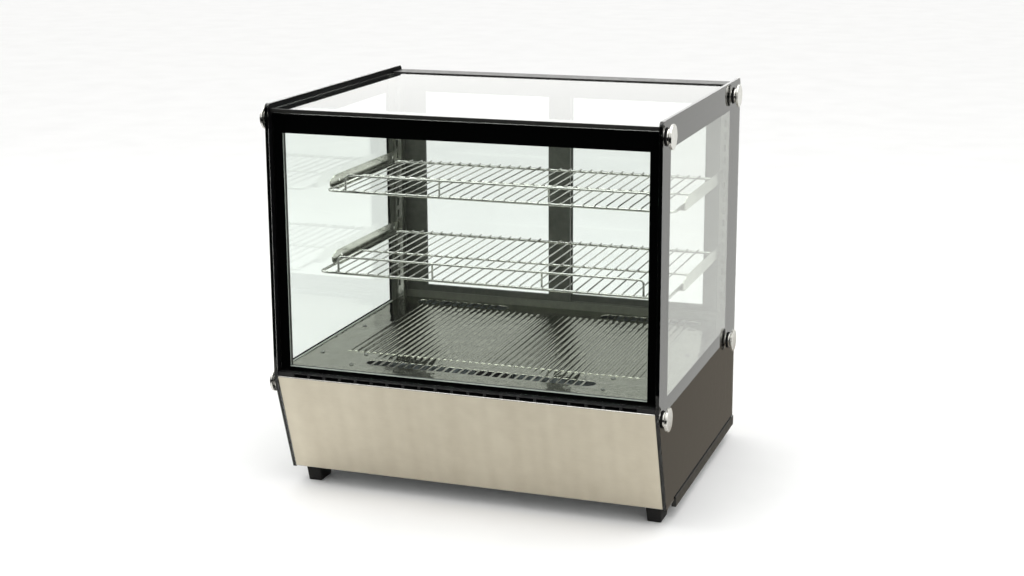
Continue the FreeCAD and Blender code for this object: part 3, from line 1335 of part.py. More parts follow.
def electrics():
    """Terminal block and lamp driver on the chassis floor, and the air probe in the duct."""
    terminal = block("terminal_base", around("terminal_x", f"terminal_pitch * {len(TERMINAL_X)} / 2"),
                     (TERMINAL_FRONT, TERMINAL_BACK), (FLOOR, f"{FLOOR} + terminal_height"))
    through = (f"{TERMINAL_FRONT} - {PAST}", f"{TERMINAL_BACK} + {PAST}")
    holes = [
        rod(f"terminal_hole_{pole}", "y", "terminal_hole", *through, x, TERMINAL_MIDDLE)
        for pole, x in enumerate(TERMINAL_X)
    ]
    terminal_block = cut("terminal_block", terminal, holes)
    driver_back = f"({TERMINAL_BACK} - driver_gap)"
    driver = block("light_driver", ("driver_left", "driver_right"),
                   (f"{driver_back} - driver_depth", driver_back), (FLOOR, f"{FLOOR} + driver_height"))
    probe_y = f"({FRONT} + probe_inset)"
    bulb = rod("probe_bulb", "x", "probe_radius", *around("probe_x", "probe_length / 2"),
               probe_y, "duct_bottom + probe_rise")
    clip = block("probe_clip", around("probe_x", "clip_width / 2"), around(probe_y, "clip_depth / 2"),
                 ("duct_bottom + sheet_metal", "duct_bottom + probe_rise - 1"))
    return terminal_block, driver, fuse("air_probe", [bulb, clip])


def inner_wiring():
    """Wires from the terminal block to the controller, both switches, the heater and the fan."""
    radius = number("wire_radius")
    bend = number("wire_bend")
    start_y = number(TERMINAL_BACK)
    start_z = number(TERMINAL_MIDDLE)
    level = number("control_height")
    controller_back = number(f"{REAR_PANEL} - controller_depth")
    switch_back = number(f"{REAR_PANEL} - switch_depth")
    duct_low = number("duct_bottom")
    control_ends = [
        (number("control_x"), controller_back),
        (number(rocker_place(0)), switch_back),
        (number(rocker_place(1)), switch_back),
    ]
    wires = []
    for pole, x in enumerate(TERMINAL_X):
        pole_x = number(x)
        lane = start_y + number("lane_start") + pole * number("lane_pitch")
        points = [Vector(pole_x, start_y, start_z), Vector(pole_x, lane, start_z)]
        if pole < len(control_ends):
            end_x, end_y = control_ends[pole]
            points += [Vector(end_x, lane, start_z), Vector(end_x, lane, level), Vector(end_x, end_y, level)]
        else:
            end_x = number(("heater_lead", "fan_lead")[pole - len(control_ends)])
            points += [Vector(end_x, lane, start_z), Vector(end_x, lane, duct_low)]
        wires.append(made(f"wire_{pole}", wire(points, radius, bend)))
    return group("inner_wiring", wires)


# ---------------------------------------------------------------- assembly
nodes = []
for hand, sign in HANDS:
    nodes += [side_glass(hand, sign), side_print(hand, sign)]
nodes += clamp_knobs()
nodes += [front_glass(), front_print(), front_frame(), top_glass(), top_front_trim()]
nodes += light()
nodes.append(rear_header())
for hand, sign in HANDS:
    nodes += [rear_post(hand, sign), shelf_upright(hand, sign)]
web_top = f"{HEADER_TOP} - chassis_sheet"
web_low = f"{web_top} - track_web"
nodes.append(door_track("upper_door_track", f"{web_low} - track_depth", web_low, (web_low, web_top)))
nodes.append(door_track("lower_door_track", "deck_height", f"{DOOR_LOW} + sill_fin",
                        (DECK_LOW, f"{DOOR_LOW} - glide_drop")))
for hand, sign in HANDS:
    nodes += sliding_door(hand, sign)
nodes.append(bracket_pair("upper_shelf_brackets", UPPER_BRACKET))
nodes.append(bracket_pair("lower_shelf_brackets", LOWER_BRACKET))
nodes += wire_shelf("upper_shelf", "upper_shelf_depth", UPPER_BRACKET)
nodes += wire_shelf("lower_shelf", "lower_shelf_depth", LOWER_BRACKET)
deck_plate, deck_screws = deck()
rear_cover, rear_screws = rear_panel()
nodes += [deck_plate, rear_cover, group("panel_screws", deck_screws + rear_screws)]
nodes += [front_panel(), louvre_strip(), chassis(), feet()]
for hand, sign in HANDS:
    nodes.append(side_rail(hand, sign))
nodes += [duct(), heater()]
nodes += fan()
nodes += controls()
nodes += switches()
nodes.append(cord_gland())
nodes += electrics()
nodes.append(inner_wiring())

doc.recompute()
failed = [item.Name for item in doc.Objects if {"Invalid", "Error"} & set(item.State)]
failed += [node.Label for node in nodes if node.Shape.isNull() or not node.Shape.isValid()]
if failed:
    raise SystemExit(f"these did not build: {failed}")

os.makedirs("parts", exist_ok=True)
for node in nodes:
    node.Shape.exportStep(f"parts/{node.Label}.step")
print(len(nodes), "pieces written")
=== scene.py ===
# %% [markdown]
# # A hot food display case, dressed in Blender
#
# The case is a glass box on a steel base. Its shapes come from a CAD model, which is loaded as a fixed
# frame. Blender gives each piece its finish, rounds its edges, and adds the small turned, welded and
# printed details that catch the light. Everything is in metres, with +X to the customer's right, +Y
# towards the serving side and +Z up.

# %% Load the frame
import json
import math

import bmesh
import bpy
from mathutils import Matrix, Vector


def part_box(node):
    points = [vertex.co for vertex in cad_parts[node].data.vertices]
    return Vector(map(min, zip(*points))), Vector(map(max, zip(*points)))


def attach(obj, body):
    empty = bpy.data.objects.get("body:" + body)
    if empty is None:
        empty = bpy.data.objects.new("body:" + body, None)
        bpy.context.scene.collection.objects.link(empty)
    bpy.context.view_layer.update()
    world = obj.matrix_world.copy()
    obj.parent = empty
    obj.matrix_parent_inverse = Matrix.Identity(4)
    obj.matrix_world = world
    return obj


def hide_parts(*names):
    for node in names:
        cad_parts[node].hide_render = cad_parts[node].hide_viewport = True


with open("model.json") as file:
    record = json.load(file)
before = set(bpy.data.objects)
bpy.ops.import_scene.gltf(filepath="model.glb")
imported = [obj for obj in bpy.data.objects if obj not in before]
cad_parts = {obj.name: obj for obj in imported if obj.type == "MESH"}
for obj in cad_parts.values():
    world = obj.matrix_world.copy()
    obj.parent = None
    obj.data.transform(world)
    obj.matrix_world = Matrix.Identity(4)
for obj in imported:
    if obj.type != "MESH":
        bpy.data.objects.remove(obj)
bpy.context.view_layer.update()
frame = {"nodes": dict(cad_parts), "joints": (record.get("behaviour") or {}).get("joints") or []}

nodes = frame["nodes"]

# %% [markdown]
# ## Small helpers
#
# Lengths on the object are thought of in millimetres, and colours as the sRGB hex values that a paint
# chart gives. Blender works in metres and linear light, so one function turns each into the other. One
# more function adds a shader node with its settings and links, which keeps every material a short list.


# %% Units, colours and nodes
def mm(value):
    return value / 1000


def linear(code):
    """The linear colour of an sRGB hex value such as C9C1AE."""
    channels = [int(code[i:i + 2], 16) / 255 for i in (0, 2, 4)]
    return [c / 12.92 if c <= 0.04045 else ((c + 0.055) / 1.055) ** 2.4 for c in channels] + [1.0]


def node(tree, kind, inputs=None, **settings):
    """Add a node. Settings are its own properties, and inputs are values or links for its sockets."""
    made = tree.nodes.new("ShaderNode" + kind)
    for name, value in settings.items():
        setattr(made, name, value)
    for name, value in (inputs or {}).items():
        if isinstance(value, bpy.types.NodeSocket):
            tree.links.new(value, made.inputs[name])
        else:
            made.inputs[name].default_value = value
    return made


def ramp(tree, source, stops, interpolation="LINEAR"):
    """A colour ramp over a value. Stops are pairs of a position and a hex colour or a grey from 0 to 1."""
    made = node(tree, "ValToRGB", {"Fac": source})
    made.color_ramp.interpolation = interpolation
    elements = made.color_ramp.elements
    while len(elements) < len(stops):
        elements.new(1.0)
    for element, (position, colour) in zip(elements, stops):
        element.position = position
        element.color = linear(colour) if isinstance(colour, str) else [colour, colour, colour, 1.0]
    return made.outputs["Color"]


def start_material(name):
    """An empty material and the position on the piece, in metres."""
    material = bpy.data.materials.new(name)
    material.use_nodes = True
    material.node_tree.nodes.clear()
    place = node(material.node_tree, "TexCoord").outputs["Object"]
    return material, material.node_tree, place


def stretched(tree, place, size_mm):
    """The position measured in grains of size_mm along X, Y and Z."""
    return node(tree, "Mapping", {"Vector": place, "Scale": [1 / mm(s) for s in size_mm]}).outputs["Vector"]


def show(tree, shader):
    node(tree, "OutputMaterial", {"Surface": shader.outputs[0]})


# %% [markdown]
# ## Toughened float glass
#
# The panes are 6 mm soda-lime float glass, toughened, with ground edges. Float glass holds a little
# iron, so it is clear face-on and green along its edge. A principled shader with full transmission
# bends light as glass does, and a faint volume absorption makes the green grow with the length of the
# path. Light from lamps would be stopped by a solid pane, so for those rays a transparent shader
# stands in. Handling leaves the finest haze, which roughness from a soft noise gives.


# %% Glass
def make_glass(name, tint, wipe_mm, haze):
    material, tree, place = start_material(name)
    wipes = node(tree, "TexNoise", {"Vector": stretched(tree, place, wipe_mm), "Detail": 3.0,
                                    "Roughness": 0.6})
    rough = node(tree, "MapRange", {"Value": wipes.outputs["Fac"], "From Min": 0.45, "From Max": 0.85,
                                    "To Min": 0.0, "To Max": haze})
    glass = node(tree, "BsdfPrincipled", {"Base Color": linear(tint), "Roughness": rough.outputs[0],
                                          "IOR": 1.52, "Transmission Weight": 1.0})
    through = node(tree, "BsdfTransparent", {"Color": linear("F1F5F2")})
    path = node(tree, "LightPath")
    mixed = node(tree, "MixShader", {0: path.outputs["Is Shadow Ray"], 1: glass.outputs[0],
                                     2: through.outputs[0]})
    iron = node(tree, "VolumeAbsorption", {"Color": linear("B4D2C0"), "Density": 6.0})
    node(tree, "OutputMaterial", {"Surface": mixed.outputs[0], "Volume": iron.outputs[0]})
    return material


float_glass = make_glass("toughened_float_glass", "FBFEFC", (160, 160, 90), 0.02)
print("float glass: 6 mm, IOR 1.52")

# %% [markdown]
# ## Fired enamel
#
# The black borders are ceramic enamel, printed on the inner face of the glass and fired in. The pane
# in front of it gives all the gloss, so the enamel itself is a deep matt black with the pinholes and
# slight unevenness of a screen print. A low specular level stands for the missing air gap.


# %% Enamel
def make_enamel():
    material, tree, place = start_material("fired_black_enamel")
    cloud = node(tree, "TexNoise", {"Vector": stretched(tree, place, (35, 35, 35)), "Detail": 4.0})
    colour = ramp(tree, cloud.outputs["Fac"], [(0.3, "050506"), (0.7, "0A0A0B")])
    shader = node(tree, "BsdfPrincipled", {"Base Color": colour, "Roughness": 0.6,
                                           "Specular IOR Level": 0.05})
    show(tree, shader)
    return material


enamel = make_enamel()
print("enamel made")

# %% [markdown]
# ## Brushed and bright-rolled stainless steel
#
# The front and rear panels are 304 stainless sheet with a ground satin finish. A belt with a fine grit
# leaves long scratches in one direction, and light smears across them into broad soft bands; these bands
# are a painted reflection, soft vertical stripes mixed into the colour. Real scratches are about 0.1 mm
# wide, too fine to show, so they are drawn 1 to 2 mm wide and 150 mm long.
# The deck and brackets are bright-annealed sheet, the same metal left as it came from polished rollers:
# almost a mirror, with a slow waviness and a dull bloom. On the deck, faces that lean towards +X or -X,
# the flanks of its ribs, are given a painted shade, so that the ribs read as dark lines.


# %% Stainless steel
def make_steel(name, dark, light, grain_mm, rough, bump_mm, painted_stripe_mix=0.0, wave_mm=0.0, flank=1.0):
    material, tree, place = start_material(name)
    grain = node(tree, "TexNoise", {"Vector": stretched(tree, place, grain_mm), "Detail": 5.0,
                                    "Roughness": 0.65})
    bloom = node(tree, "TexNoise", {"Vector": stretched(tree, place, (120, 120, 120)), "Detail": 2.0})
    both = node(tree, "Mix", {"Factor": 0.45, "A": grain.outputs["Fac"], "B": bloom.outputs["Fac"]})
    # Painted reflection: broad vertical stripes, mixed into the colour and the roughness, stand for light
    # smeared across the grain.
    if painted_stripe_mix:
        painted_stripes = node(tree, "TexNoise", {"Vector": stretched(tree, place, (90, 4000, 4000)), "Detail": 0.0})
        both = node(tree, "Mix", {"Factor": painted_stripe_mix, "A": both.outputs[0], "B": painted_stripes.outputs["Fac"]})
    colour = ramp(tree, both.outputs[0], [(0.32, dark), (0.68, light)])
    # Painted shade: faces that lean towards +X or -X, such as the rib flanks, are darkened by the factor
    # flank.
    if flank < 1.0:
        facing = node(tree, "SeparateXYZ", {"Vector": node(tree, "NewGeometry").outputs["Normal"]})
        tilt = node(tree, "Math", {0: facing.outputs["X"]}, operation="ABSOLUTE")
        painted_rib_shade = node(tree, "MapRange", {"Value": tilt.outputs[0], "From Min": 0.15, "From Max": 0.75,
                                       "To Min": 1.0, "To Max": flank})
        colour = node(tree, "VectorMath", {0: colour, "Scale": painted_rib_shade.outputs[0]}, operation="SCALE").outputs[0]
    dull = node(tree, "MapRange", {"Value": both.outputs[0], "From Min": 0.3, "From Max": 0.7,
                                   "To Min": rough[0], "To Max": rough[1]})
    relief = node(tree, "Bump", {"Height": grain.outputs["Fac"], "Strength": 0.35, "Distance": mm(bump_mm)})
    if wave_mm:
        relief = node(tree, "Bump", {"Height": bloom.outputs["Fac"], "Strength": 1.0, "Distance": mm(wave_mm),
                                     "Normal": relief.outputs[0]})
    shader = node(tree, "BsdfPrincipled", {"Base Color": colour, "Metallic": 1.0,
                                           "Roughness": dull.outputs[0], "Normal": relief.outputs[0]})
    show(tree, shader)
    return material


brushed_steel = make_steel("brushed_stainless_panel", "C3BBAA", "D1CAB9", (150, 1.6, 1.6), (0.3, 0.34), 0.02,
                           painted_stripe_mix=0.3)
deck_steel = make_steel("bright_annealed_deck", "A3A49A", "B4B5AA", (3, 60, 3), (0.05, 0.11), 0.008,
                        wave_mm=1.2, flank=0.3)
bracket_steel = make_steel("bright_annealed_bracket", "C0C1B9", "DADBD4", (3, 60, 3), (0.16, 0.28), 0.01,
                           wave_mm=0.8)
print("stainless: three finishes")

# %% [markdown]
# ## Bright plated wire and polished caps
#
# The shelves are steel wire with bright nickel-chrome plating, and the clamp knobs are turned and
# polished stainless. Both are nearly mirrors, so their look is that of the room: white overhead and
# dark in front. Plating follows the drawn wire, which leaves small changes in gloss along it.


# %% Plated wire and polished metal
def make_bright(name, dark, light, spot_mm, rough):
    material, tree, place = start_material(name)
    spots = node(tree, "TexNoise", {"Vector": stretched(tree, place, spot_mm), "Detail": 4.0})
    colour = ramp(tree, spots.outputs["Fac"], [(0.35, dark), (0.65, light)])
    dull = node(tree, "MapRange", {"Value": spots.outputs["Fac"], "From Min": 0.3, "From Max": 0.7,
                                   "To Min": rough[0], "To Max": rough[1]})
    relief = node(tree, "Bump", {"Height": spots.outputs["Fac"], "Strength": 0.2, "Distance": mm(0.03)})
    shader = node(tree, "BsdfPrincipled", {"Base Color": colour, "Metallic": 1.0,
                                           "Roughness": dull.outputs[0], "Normal": relief.outputs[0]})
    show(tree, shader)
    return material


plated_wire = make_bright("bright_plated_wire", "B4B5B1", "DCDDD9", (9, 9, 9), (0.05, 0.12))
polished_steel = make_bright("polished_stainless_cap", "D3D2CD", "ECEBE7", (14, 14, 14), (0.12, 0.2))
screw_steel = make_bright("zinc_plated_screw", "6E706C", "8C8E8A", (4, 4, 4), (0.18, 0.3))

# %% [markdown]
# ## Powder coat, moulded plastics and rubber
#
# The posts, header and door frames are steel and aluminium with a satin black powder coat, which dries
# to a fine orange peel about 1.5 mm across. The tracks, knob washers and switches are moulded: ABS and
# nylon carry the fine spark texture of the mould, and the feet are dull rubber that picks up dust.


# %% Coated and moulded finishes
def make_moulded(name, dark, light, peel_mm, rough, relief_mm, specular=0.5, coat=0.0):
    material, tree, place = start_material(name)
    peel = node(tree, "TexNoise", {"Vector": stretched(tree, place, (peel_mm,) * 3), "Detail": 2.0})
    wear = node(tree, "TexNoise", {"Vector": stretched(tree, place, (60, 60, 60)), "Detail": 5.0,
                                   "Roughness": 0.6})
    colour = ramp(tree, wear.outputs["Fac"], [(0.35, dark), (0.7, light)])
    dull = node(tree, "MapRange", {"Value": wear.outputs["Fac"], "From Min": 0.3, "From Max": 0.7,
                                   "To Min": rough[0], "To Max": rough[1]})
    relief = node(tree, "Bump", {"Height": peel.outputs["Fac"], "Strength": 0.4, "Distance": mm(relief_mm)})
    shader = node(tree, "BsdfPrincipled", {"Base Color": colour, "Roughness": dull.outputs[0], "IOR": 1.5,
                                           "Specular IOR Level": specular, "Coat Weight": coat,
                                           "Normal": relief.outputs[0]})
    show(tree, shader)
    return material


powder_coat = make_moulded("satin_black_powder_coat", "141412", "1E1E1B", 1.5, (0.32, 0.45), 0.06)
frame_coat = make_moulded("charcoal_door_coat", "42433D", "4F5049", 1.5, (0.38, 0.5), 0.06)
charcoal_abs = make_moulded("moulded_charcoal_abs", "56574F", "626359", 0.9, (0.4, 0.5), 0.05)
black_abs = make_moulded("moulded_black_abs", "101011", "1A1A1B", 0.9, (0.38, 0.5), 0.05)
grey_abs = make_moulded("moulded_grey_abs", "6F7072", "7E7F81", 0.9, (0.35, 0.45), 0.04)
nylon = make_moulded("moulded_white_nylon", "D9D8D2", "E8E7E1", 0.9, (0.35, 0.5), 0.04)
black_rubber = make_moulded("black_rubber", "0E0E0E", "1C1B1A", 1.2, (0.65, 0.85), 0.08, 0.3)
red_rocker = make_moulded("translucent_red_polycarbonate", "8E0F0A", "B21A12", 0.9, (0.12, 0.2), 0.01,
                          coat=0.4)
green_rocker = make_moulded("translucent_green_polycarbonate", "0C6B23", "14862F", 0.9, (0.12, 0.2), 0.01,
                            coat=0.4)
smoked_window = make_moulded("smoked_acrylic_window", "050506", "0B0A0A", 5.0, (0.04, 0.08), 0.002,
                             specular=0.6, coat=0.5)
white_print = make_moulded("white_pad_print", "DDDDDA", "EFEFEC", 1.0, (0.5, 0.6), 0.01)
lamp_cover = make_moulded("frosted_polycarbonate_cover", "D5D8D4", "E6E8E4", 1.0, (0.45, 0.6), 0.02)
lamp_alloy = make_moulded("satin_white_lacquered_alloy", "B9BBB8", "CFD0CD", 1.5, (0.35, 0.5), 0.04)
print("moulded and coated finishes made")

# %% [markdown]
# ## Galvanised steel, heater sheath and wire insulation
#
# The chassis and the duct are galvanised sheet, and zinc sets in crystals called spangle, each about
# 8 mm across with its own shade of grey. A Voronoi pattern is made of just such cells. The heating tube
# is oxidised by its own heat. The wires in the base differ in colour, and one material can do that with
# the random number that each separate tube is given.


# %% Galvanised steel
def make_galvanised():
    material, tree, place = start_material("galvanised_sheet")
    cells = node(tree, "TexVoronoi", {"Vector": stretched(tree, place, (8, 8, 8)), "Randomness": 1.0})
    shade = node(tree, "SeparateColor", {"Color": cells.outputs["Color"]})
    colour = ramp(tree, shade.outputs[0], [(0.0, "8C9093"), (1.0, "B3B7B9")])
    dull = node(tree, "MapRange", {"Value": shade.outputs[1], "To Min": 0.32, "To Max": 0.5})
    shader = node(tree, "BsdfPrincipled", {"Base Color": colour, "Metallic": 1.0,
                                           "Roughness": dull.outputs[0]})
    show(tree, shader)
    return material


def make_heater_sheath():
    material, tree, place = start_material("oxidised_heater_sheath")
    scale = node(tree, "TexNoise", {"Vector": stretched(tree, place, (22, 22, 22)), "Detail": 5.0})
    colour = ramp(tree, scale.outputs["Fac"], [(0.3, "3B352F"), (0.55, "6A5A48"), (0.75, "4A4E58")])
    shader = node(tree, "BsdfPrincipled", {"Base Color": colour, "Metallic": 1.0, "Roughness": 0.45})
    show(tree, shader)
    return material


def make_insulation():
    material, tree, place = start_material("pvc_wire_insulation")
    each = node(tree, "NewGeometry").outputs["Random Per Island"]
    colour = ramp(tree, each, [(0.0, "5A2E16"), (0.34, "1F3F8C"), (0.67, "9AA31F")], "CONSTANT")
    shader = node(tree, "BsdfPrincipled", {"Base Color": colour, "Roughness": 0.45, "IOR": 1.53})
    show(tree, shader)
    return material


galvanised = make_galvanised()
heater_sheath = make_heater_sheath()
insulation = make_insulation()
print("galvanised, heater sheath and insulation made")

# %% [markdown]
# ## Dress the CAD nodes
#
# Each CAD piece keeps its mesh. Its faces arrive with their seams split, so a Weld modifier joins them.
# A Decimate modifier dissolves the triangles of each flat, so that no shading line crosses it. A Bevel
# modifier breaks the sharp edges by the radius that the real process leaves, and a Weighted Normal
# modifier keeps the flats flat. Sheet metal has edges of about 0.3 to 0.5 mm, ground glass 0.6 mm, the
# rolled edge of the front panel 1.1 mm and the rubber feet 1.5 mm.

# %% Finish and edge radius of each node
FINISHES = [
    (float_glass, 0.6, ["left_side_glass", "right_side_glass", "front_glass", "top_glass",
                        "left_door_glass", "right_door_glass"]),
    (enamel, 0, ["left_side_print", "right_side_print", "front_print"]),
    (powder_coat, 0.5, ["front_frame", "top_front_trim", "rear_header", "left_side_rail",
                        "right_side_rail"]),
    (frame_coat, 0.5, ["left_rear_post", "right_rear_post", "left_door_frame", "right_door_frame"]),
    (charcoal_abs, 0.4, ["upper_door_track", "lower_door_track"]),
    (black_abs, 0.4, ["louvre_strip", "left_door_pull", "right_door_pull", "fan_housing", "controller_body",
                      "switch_bodies", "cord_gland"]),
    (black_abs, 0, ["fan_rotor"]),
    (grey_abs, 0.4, ["set_button", "up_button", "down_button"]),
    (nylon, 0.3, ["left_door_glides", "right_door_glides", "terminal_block"]),
    (black_rubber, 0, ["knob_washers"]),
    (black_rubber, 1.5, ["feet"]),
    (plated_wire, 0, ["upper_shelf", "upper_shelf_rail", "lower_shelf", "lower_shelf_rail", "air_probe"]),
    (bracket_steel, 0.3, ["left_shelf_upright", "right_shelf_upright", "upper_shelf_brackets",
                          "lower_shelf_brackets"]),
    (deck_steel, 0, ["deck"]),
    (brushed_steel, 1.1, ["front_panel"]),
    (brushed_steel, 0.4, ["rear_panel"]),
    (screw_steel, 0.3, ["panel_screws"]),
    (polished_steel, 0.5, ["clamp_knobs"]),
    (galvanised, 0, ["chassis", "air_duct"]),
    (heater_sheath, 0, ["heater_element"]),
    (insulation, 0, ["inner_wiring"]),
    (lamp_alloy, 0.5, ["light_housing", "light_driver"]),
    (lamp_cover, 0.5, ["light_cover"]),
    (smoked_window, 0.4, ["controller_window"]),
    (red_rocker, 0.6, ["power_rocker"]),
    (green_rocker, 0.6, ["light_rocker"]),
]
SEAM = 1e-6
FLAT = math.radians(0.3)
SHARP = math.radians(35)


def soften(piece, radius_mm):
    """Join the seams of a piece, round its sharp edges and keep its flats flat."""
    piece.modifiers.new("join_seams", "WELD").merge_threshold = SEAM
    if radius_mm:
        flats = piece.modifiers.new("whole_flats", "DECIMATE")
        flats.decimate_type = "DISSOLVE"
        flats.angle_limit = FLAT
        bevel = piece.modifiers.new("broken_edges", "BEVEL")
        bevel.width = mm(radius_mm)
        bevel.segments = 2
        bevel.limit_method = "ANGLE"
        bevel.angle_limit = SHARP
    piece.modifiers.new("flat_faces", "WEIGHTED_NORMAL").keep_sharp = False


dressed = set()
for finish, radius_mm, names in FINISHES:
    for name in names:
        piece = nodes[name]
        piece.data.materials.clear()
        piece.data.materials.append(finish)
        piece.data.polygons.foreach_set("use_smooth", [True] * len(piece.data.polygons))
        soften(piece, radius_mm)
        dressed.add(name)
print(len(dressed), "nodes dressed; left over:", sorted(set(nodes) - dressed))

# %% [markdown]
# ## Turned pieces
#
# Knobs and screw heads come off a lathe, so they are made as one: a profile of distances and radii is
# spun about an axis. A primitive cylinder would lack the groove, the rounded rim and the faint step that
# make a turned piece look turned. The places come from the separate solids of the CAD node.


# %% Solids of a node, and a lathe
def solids_of(name):
    """The lowest and highest corner of each separate solid of a CAD node."""
    bm = bmesh.new()
    bm.from_mesh(nodes[name].data)
    bmesh.ops.remove_doubles(bm, verts=bm.verts, dist=SEAM)
    found, seen = [], set()
    for first in bm.verts:
        if first in seen:
            continue
        seen.add(first)
        shell = [first]
        for vert in shell:
            for edge in vert.link_edges:
                other = edge.other_vert(vert)
                if other not in seen:
                    seen.add(other)
                    shell.append(other)
        places = [v.co for v in shell]
        found.append((Vector(map(min, zip(*places))), Vector(map(max, zip(*places)))))
    bm.free()
    return found


def turn_profile(bm, profile, start, axis, sides=48, dent=None):
    """Spin a profile of (distance along the axis, radius), in millimetres, about an axis from start."""
    axis = Vector(axis).normalized()
    across = axis.orthogonal().normalized()
    beside = axis.cross(across)
    rings = []
    for along, radius in profile:
        ring = []
        for k in range(1 if radius == 0 else sides):
            angle = math.tau * k / sides
            depth = dent(radius, k) if dent else 0
            ring.append(bm.verts.new(start + axis * mm(along - depth)
                                     + (across * math.cos(angle) + beside * math.sin(angle)) * mm(radius)))
        rings.append(ring)
    for low, high in zip(rings, rings[1:]):
        for k in range(sides):
            after = k + 1
            corners = [low[k % len(low)], low[after % len(low)], high[after % len(high)], high[k % len(high)]]
            corners = list(dict.fromkeys(corners))
            if len(corners) > 2:
                bm.faces.new(corners)


def finish_mesh(name, bm, finish, body):
    """Make a piece of the mesh, give it its finish, and let it ride on a body."""
    bmesh.ops.recalc_face_normals(bm, faces=bm.faces)
    mesh = bpy.data.meshes.new(name)
    bm.to_mesh(mesh)
    bm.free()
    mesh.polygons.foreach_set("use_smooth", [True] * len(mesh.polygons))
    mesh.materials.append(finish)
    piece = bpy.data.objects.new(name, mesh)
    bpy.context.scene.collection.objects.link(piece)
    piece.modifiers.new("flat_faces", "WEIGHTED_NORMAL").keep_sharp = False
    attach(piece, body)
    print(name, len(mesh.polygons), "faces")
    return piece


# %% Clamp knobs
STUD = [(-7.9, 0), (-7.9, 4), (0, 4)]
NECK = [(0, 12.4), (0.5, 13), (3.0, 13), (3.3, 12.4), (3.6, 12.4), (3.9, 13), (5.5, 13)]
RIM = [(5.5, 18.8), (5.9, 19.6), (6.5, 20), (7.5, 20), (7.7, 19.5), (7.9, 19.5), (8.1, 20), (9.2, 20),
       (9.9, 19.8), (10.35, 19.2), (10.5, 18.4)]
FACE = [(10.5, radius) for radius in (16.5, 12, 6, 0)]
bm = bmesh.new()
for low, high in solids_of("knob_washers"):
    middle = (low + high) / 2
    side = math.copysign(1, middle.x)
    outside = high.x if side > 0 else low.x
    turn_profile(bm, STUD + NECK + RIM + FACE, Vector((outside, middle.y, middle.z)), (side, 0, 0))
knobs = finish_mesh("turned_clamp_knobs", bm, polished_steel, "case")
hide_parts("clamp_knobs")

# %% Panel screws
HEAD_HEIGHT = 2.2
SHANK = [(-8, 0), (-8, 1.6), (-7.6, 1.75), (0, 1.75), (0, 3.9)]
HEAD = ([(0, 3.9), (0.5, 4), (1.1, 3.85), (1.7, 3.3), (2.1, 2.5)]
        + [(HEAD_HEIGHT, radius) for radius in (2.0, 1.85, 1.3, 0.8, 0.4, 0)])
SCREW_SIDES = 32
RECESS_RADIUS, RECESS_DEPTH, RECESS_TAPER = 1.9, 1.5, 0.6


def cross_recess(radius, k):
    """How deep the driver's cross goes at a radius and a step round the head."""
    quarter = SCREW_SIDES // 4
    off = min(k % quarter, quarter - k % quarter)
    in_arm = off <= 1 or radius < 0.5
    return max(0.0, RECESS_DEPTH - RECESS_TAPER * radius) if in_arm and radius < RECESS_RADIUS else 0


bm = bmesh.new()
for low, high in solids_of("panel_screws"):
    size = high - low
    axis = 2 if size.z > size.y else 1
    middle = (low + high) / 2
    start = middle.copy()
    start[axis] = high[axis] - mm(HEAD_HEIGHT)
    direction = [0, 0, 0]
    direction[axis] = 1
    turn_profile(bm, SHANK, start, direction, SCREW_SIDES)
    turn_profile(bm, HEAD, start, direction, SCREW_SIDES, cross_recess)
bmesh.ops.remove_doubles(bm, verts=bm.verts, dist=SEAM)
screws = finish_mesh("pan_head_screws", bm, screw_steel, "case")
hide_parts("panel_screws")

# %% [markdown]
# ## Sealant beads and the hem of the front panel
#
# The deck stops short of the glass, and the joint is filled with a bead of clear silicone run in by
# hand. It reads as a thin bright line round the floor of the case, and a second bead runs where the
# front glass meets its frame. A curve with a round bevel, sunk half way into the joint, has the uneven
# height that a bead has when its points wander by a tenth of a millimetre. The top edge of the front
# panel is folded over into a round hem, which is the same kind of curve without the wander.


# %% Silicone, beads and hem
def make_silicone():
    material, tree, place = start_material("clear_silicone_sealant")
    ripple = node(tree, "TexNoise", {"Vector": stretched(tree, place, (6, 6, 6)), "Detail": 2.0})
    colour = ramp(tree, ripple.outputs["Fac"], [(0.3, "C9CCC6"), (0.7, "E4E6E1")])
    relief = node(tree, "Bump", {"Height": ripple.outputs["Fac"], "Strength": 0.5, "Distance": mm(0.2)})
    shader = node(tree, "BsdfPrincipled", {"Base Color": colour, "Roughness": 0.25, "IOR": 1.41,
                                           "Transmission Weight": 0.25, "Normal": relief.outputs[0]})
    show(tree, shader)
    return material


def make_bead(name, points, radius_mm, finish, body):
    """A round bead along a line of points, riding on a body."""
    line = bpy.data.curves.new(name, "CURVE")
    line.dimensions = "3D"
    line.bevel_depth = mm(radius_mm)
    line.bevel_resolution = 3
    line.use_fill_caps = True
    spline = line.splines.new("POLY")
    spline.points.add(len(points) - 1)
    for point, place in zip(spline.points, points):
        point.co = (*place, 1)
    line.materials.append(finish)
    bead = bpy.data.objects.new(name, line)
    bpy.context.scene.collection.objects.link(bead)
    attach(bead, body)
    print(name, len(points), "points")


def bead_run(start, end):
    """Points from start to end whose height wanders as a hand-run bead does."""
    wander = [mm(WANDER) * math.sin(1.7 * k) * math.sin(0.6 * k) for k in range(BEAD_STEPS + 1)]
    return [Vector(start).lerp(Vector(end), k / BEAD_STEPS) + Vector((0, 0, rise))
            for k, rise in enumerate(wander)]


def bead_path(corners):
    """One line of runs through the corners, with a single point at each corner."""
    points = []
    for start, end in zip(corners, corners[1:]):
        points = points[:-1] + bead_run(start, end)
    return points


WANDER = 0.12
BEAD_STEPS = 60
DECK_BEAD, WINDOW_BEAD, HEM = 1.4, 1.3, 1.1  # radii
silicone = make_silicone()

